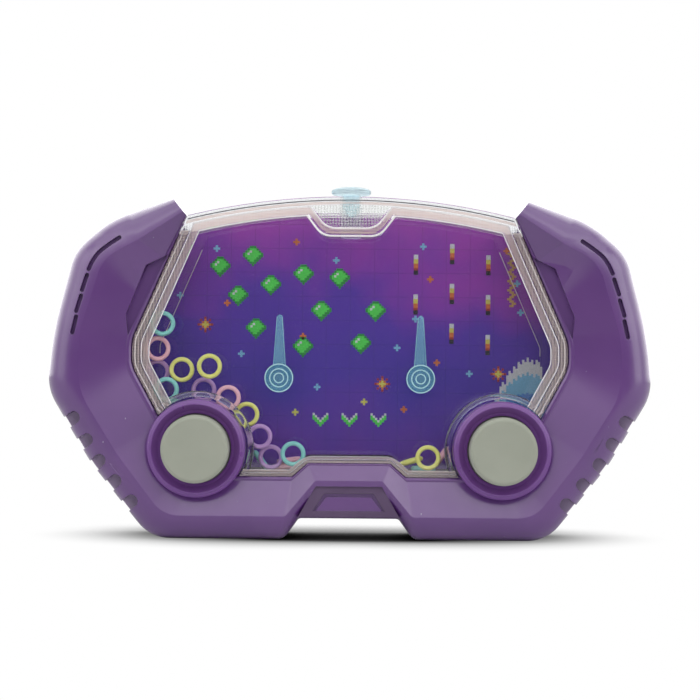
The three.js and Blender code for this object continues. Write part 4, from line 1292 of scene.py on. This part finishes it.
def bulb_clamp(side):
    rear = BULB_BASE + BULB_FLANGE_THICKNESS + CLEARANCE
    inner, outer = BULB_RADIUS + CLEARANCE, WELL_RADIUS - CLEARANCE
    front = rear + CLAMP_THICKNESS
    return turned([
        (inner, -rear), (inner, -(front - CLAMP_CHAMFER)), (inner + CLAMP_CHAMFER, -front),
        (outer - CLAMP_CHAMFER, -front), (outer, -(front - CLAMP_CHAMFER)), (outer, -rear),
    ], side * PUMP_X, PUMP_Z)


def jet_nozzle(side):
    x = side * PUMP_X
    shank = WELL_PORT_RADIUS - CLEARANCE
    flange_front = WELL_FLOOR_REAR - CLEARANCE
    flange_rear = flange_front - NOZZLE_FLANGE_THICKNESS
    spout_y = (CAVITY_BACK - flange_front) / 2
    top = PUMP_Z + SPOUT_REACH
    nose = -(WELL_FLOOR_FRONT - CLEARANCE)
    bush = turned([
        (0, nose), (shank, nose), (shank, -flange_front), (NOZZLE_FLANGE_RADIUS, -flange_front),
        (NOZZLE_FLANGE_RADIUS, -flange_rear), (0, -flange_rear),
    ], x, PUMP_Z, PORT_STEPS)
    return cut(joined([bush, post(SPOUT_RADIUS, PUMP_Z - SPOUT_RADIUS, top, x, spout_y)]), [
        rod(NOZZLE_BORE, -(WELL_FLOOR_FRONT + OVERRUN), spout_y, x, PUMP_Z, BORE_STEPS),
        post(NOZZLE_BORE, PUMP_Z, top + OVERRUN, x, spout_y, BORE_STEPS),
    ])


# Pegs: a grooved hub with ears, and a spike
def peg(side):
    x = side * PEG_X
    back = CAVITY_BACK - CLEARANCE
    front = back - PEG_HUB_DEPTH
    hub = turned([
        *[(r, front + deep) for r, deep in PEG_GROOVES], (PEG_HUB_RADIUS - PEG_HUB_ROUND, front),
        (PEG_HUB_RADIUS, front + PEG_HUB_ROUND), (PEG_HUB_RADIUS, back), (0, back),
    ], x, PEG_Z)
    reach = PEG_HUB_RADIUS + PEG_EAR
    corners = [(x - reach, PEG_Z), (x, PEG_Z - PEG_EAR_HEIGHT), (x + reach, PEG_Z),
               (x, PEG_Z + PEG_EAR_HEIGHT)]
    ears = slab(rounded([(*corner, PEG_EAR_ROUND) for corner in corners], True),
                front + PEG_EAR, back)
    radius = SPIKE_TIP / 2
    spike = upright([
        (0, PEG_Z), (SPIKE_FOOT / 2, PEG_Z), (SPIKE_FOOT / 2, PEG_Z + PEG_HUB_RADIUS),
        *dome(radius, PEG_Z + SPIKE_HEIGHT - radius, radius, 6),
    ], x, (front + back) / 2, PORT_STEPS)
    return joined([hub, ears, spike])


def painted_peg_highlights(side):
    """Pale raised lines that paint highlights on a peg: circles on its hub and the two sides of its
    spike.
    """
    x = side * PEG_X
    hub = CAVITY_BACK - CLEARANCE - PEG_HUB_DEPTH
    front, back = hub - PEG_LINE_LIFT, hub + PEG_LINE_DEPTH
    rings = [turned([(r, front), (r + PEG_LINE, front), (r + PEG_LINE, back), (r, back)], x, PEG_Z)
             for r in PEG_LINE_RADII]
    middle = hub + PEG_HUB_DEPTH / 2
    foot = PEG_Z + PEG_HUB_RADIUS - PEG_LINE_SINK
    tip = PEG_Z + SPIKE_HEIGHT - SPIKE_TIP / 2
    lines = []
    for way in SIDES:
        low = (x + way * (SPIKE_FOOT / 2 - PEG_LINE_INSET), foot)
        high = (x + way * (SPIKE_TIP / 2 - PEG_LINE_INSET), tip)
        line = strip([low, between(low, high, 0.5), high], PEG_LINE)
        lines.append(slab(line, middle - PEG_LINE, middle + PEG_LINE))
    return joined([*rings, *lines])


for side, name in NAMED_SIDES:
    place(button(side), f"thumb_button_{name}", SAGE, [f"button_{name}"],
          f"{name}_button")
    flat_bulb = place(bulb(side), f"bulb_{name}", DARK_RUBBER,
                      [f"pump_bulb_{name}"])
    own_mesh(flat_bulb)
    place(bulb_clamp(side), f"clamp_{name}", WHITE, [f"bulb_clamp_{name}"])
    place(jet_nozzle(side), f"nozzle_{name}", WHITE, [f"jet_nozzle_{name}"])
    place(peg(side), f"landing_peg_{name}", SKY_CLEAR, [f"peg_{name}"])
    place(painted_peg_highlights(side), f"peg_highlight_lines_{name}", SKY_PAINTED_HIGHLIGHT)

# Filler stopper
cap_foot = HEIGHT + STOPPER_STAND
neck_foot = cap_foot - STOPPER_NECK_HEIGHT
plug_tip = neck_foot - STOPPER_PLUG_LENGTH
stopper = upright([
    *[(r, plug_tip + up) for r, up in STOPPER_NOSE],
    (STOPPER_PLUG_RADIUS, neck_foot - STOPPER_CHAMFER), (STOPPER_PLUG_RADIUS, neck_foot),
    (STOPPER_NECK_RADIUS, neck_foot), (STOPPER_NECK_RADIUS, cap_foot),
    (STOPPER_CAP_RADIUS - STOPPER_CHAMFER, cap_foot),
    (STOPPER_CAP_RADIUS - STOPPER_CAP_FOOT[0], cap_foot + STOPPER_CAP_FOOT[1]),
    *dome(STOPPER_CAP_RADIUS, cap_foot + STOPPER_CAP_EDGE,
          STOPPER_CAP_HEIGHT - STOPPER_CAP_EDGE, 10),
], 0, -FILLER_DEPTH)
place(stopper, "stopper_cap", STOPPER, ["filler_stopper"], "stopper")


# Screws
def screw(x, z):
    seat = POST_FLOOR + CLEARANCE
    tip = seat - SCREW_LENGTH
    head = seat + SCREW_HEAD_HEIGHT
    body = turned([
        (0, tip), (SCREW_SHANK_RADIUS, tip + SCREW_SHANK_RADIUS), (SCREW_SHANK_RADIUS, seat),
        (SCREW_HEAD_RADIUS, seat),
        *dome(SCREW_HEAD_RADIUS, seat + SCREW_HEAD_EDGE, SCREW_HEAD_HEIGHT - SCREW_HEAD_EDGE, 8),
    ], x, z, PORT_STEPS)
    half, reach, floor = SCREW_SLOT_WIDTH / 2, SCREW_SLOT_LENGTH / 2, head - SCREW_RECESS
    return cut(body, [
        block(x - half, x + half, floor, head + OVERRUN, z - reach, z + reach),
        block(x - reach, x + reach, floor, head + OVERRUN, z - half, z + half),
    ])


for number, (x, z) in enumerate(SCREWS, 1):
    place(screw(x, z), f"cross_screw_{number}", STEEL, [f"screw_{number}"])

# Loose rings: each follows the centre and tilt of its own CAD solid
RINGS = [
    "cyan", "pink", "lilac", "cyan", "yellow", "yellow", "lilac", "pink", "yellow", "lilac",
    "lilac", "cyan", "cyan", "pink", "pink", "yellow", "yellow", "cyan", "pink",
]
LEANS = {13: 53, 14: -8, 15: -4, 17: -16, 18: 2, 19: -57}


def ring(number):
    low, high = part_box(f"ring_{number:02d}")
    centre = (low + high) / 2
    middle = Vector((centre.x / MM, centre.y / MM - PARTING, centre.z / MM))
    pitch = Matrix.Rotation(math.radians(0 if number in LEANS else 90), 4, "X")
    turn = pitch @ Matrix.Rotation(math.radians(LEANS.get(number, 0)), 4, "Y")
    tube = RING_SECTION / 2
    bend = RING_DIAMETER / 2 - tube
    turns = [2 * math.pi * step / RING_SECTION_STEPS for step in range(RING_SECTION_STEPS)]
    profile = [(bend + tube * math.cos(t), tube * math.sin(t)) for t in turns]
    return spun(profile, ROUND_STEPS, lambda *at: tuple(turn @ Vector(at) + middle))


for number, colour in enumerate(RINGS, 1):
    node = f"ring_{number:02d}"
    place(ring(number), f"loose_{node}", RING_LOOKS[colour], [node],
          f"{node}_loose")


# Floor, light and background. The world's levels are taken up over spans of the ray's direction
WORLD_FRONT = 0.035
WORLD_BAND = 0.46
WORLD_BAND_SPAN = (0.05, 0.24)
WORLD_TOP = 0.14
WORLD_TOP_SPAN = (0.50, 0.80)
WORLD_SIDE = 0.32
WORLD_SIDE_SPAN = (0.55, 0.95)
WORLD_BACK = 0.60
WORLD_BACK_SPAN = (-0.2, 0.5)
WORLD_GLOSS = 3.2
FLOOR_REACH = 3
FLOOR_REACH_FRONT = 0.30
FLOOR_PAPER = 0.9
FLOOR_WHITE = 1.5
CONTACT_REACH = 0.032
CONTACT_POWER = 2.6
SHADOW_CENTRE = 0.022
SHADOW_STRETCH = 0.52
SHADOW_START = 0.028
SHADOW_END = 0.054
WHITE_LIGHT = (1, 1, 1, 1)
LIGHT_AIM = (0, 0, 0.045)


def add_floor():
    """Pale paper for other rays. The camera sees it as white glow, with a painted contact shadow
    near the part, worked out from ambient occlusion.
    """
    mesh = bpy.data.meshes.new("floor")
    front, reach = -FLOOR_REACH_FRONT, FLOOR_REACH
    corners = [(-reach, front, 0), (reach, front, 0), (reach, reach, 0), (-reach, reach, 0)]
    mesh.from_pydata(corners, [], [(0, 1, 2, 3)])
    floor = add("floor", mesh)
    made = material("floor")
    paper = made.node("BsdfDiffuse", {"Color": (FLOOR_PAPER, FLOOR_PAPER, FLOOR_PAPER, 1)})
    white = made.node("Emission", {"Color": WHITE_LIGHT, "Strength": 1.0})
    # Painted contact shadow: near the part, the glow is dimmed by ambient occlusion.
    openness = made.node("AmbientOcclusion", {"Distance": CONTACT_REACH}, samples=16).outputs["AO"]
    shade = made.math("MULTIPLY", made.math("POWER", openness, CONTACT_POWER), FLOOR_WHITE)
    contact = made.node("Emission", {
        "Color": WHITE_LIGHT, "Strength": made.math("MINIMUM", shade, 1.0),
    })
    axes = made.axes()
    across = made.math("MULTIPLY", axes["X"], SHADOW_STRETCH)
    away = made.math("SUBTRACT", axes["Y"], SHADOW_CENTRE)
    far = made.math("SQRT", made.math("ADD", made.math("MULTIPLY", across, across),
                                      made.math("MULTIPLY", away, away)))
    clear_of_part = made.span(far, SHADOW_START, SHADOW_END, 0, 1)
    rays = made.node("LightPath").outputs
    is_seen = made.math("MAXIMUM", rays["Is Camera Ray"], rays["Is Transmission Ray"])
    seen = made.node("MixShader", {0: clear_of_part, 1: contact, 2: white})
    mesh.materials.append(made.finish(made.node("MixShader", {0: is_seen, 1: paper, 2: seen})))


def add_world():
    """White behind the part; otherwise bright above and at the sides, more so for gloss, and dim
    in front."""
    world = bpy.data.worlds.new("studio")
    bpy.context.scene.world = world
    made = Nodes(world, "Generated")
    way = made.axes()

    def ease(value, ends, low, high):
        return made.span(value, *ends, low, high, "SMOOTHSTEP")

    band = ease(way["Z"], WORLD_BAND_SPAN, WORLD_FRONT, WORLD_BAND)
    high = ease(way["Z"], WORLD_TOP_SPAN, band, WORLD_TOP)
    wide = ease(made.math("ABSOLUTE", way["X"]), WORLD_SIDE_SPAN, WORLD_FRONT, WORLD_SIDE)
    behind = ease(way["Y"], WORLD_BACK_SPAN, WORLD_FRONT, WORLD_BACK)
    level = made.math("MAXIMUM", made.math("MAXIMUM", high, wide), behind)
    rays = made.node("LightPath").outputs
    lit = made.math("MULTIPLY", level, made.span(rays["Is Glossy Ray"], 0, 1, 1, WORLD_GLOSS))
    through = made.math("MULTIPLY", rays["Is Transmission Ray"],
                        made.math("GREATER_THAN", way["Y"], 0.0))
    seen = made.math("MAXIMUM", rays["Is Camera Ray"], through)
    strength = made.span(seen, 0, 1, lit, 1)
    ground = made.node("Background", {"Color": WHITE_LIGHT, "Strength": strength})
    made.finish(ground, "World")


def add_light(name, at, width, height, watts):
    data = bpy.data.lights.new(name, "AREA")
    data.shape = "RECTANGLE"
    data.size, data.size_y, data.energy = width, height, watts
    light = add(name, data)
    light.location = at
    aim = Vector(LIGHT_AIM) - light.location
    light.rotation_euler = aim.to_track_quat("-Z", "Y").to_euler()


add_floor()
add_world()
add_light("softbox_top", (0.0, -0.45, 0.90), 2.0, 1.2, 9.0)
add_light("softbox_left", (-0.9, -0.35, 0.35), 0.5, 0.8, 0.95)
add_light("softbox_right", (0.9, -0.35, 0.35), 0.5, 0.8, 1.5)
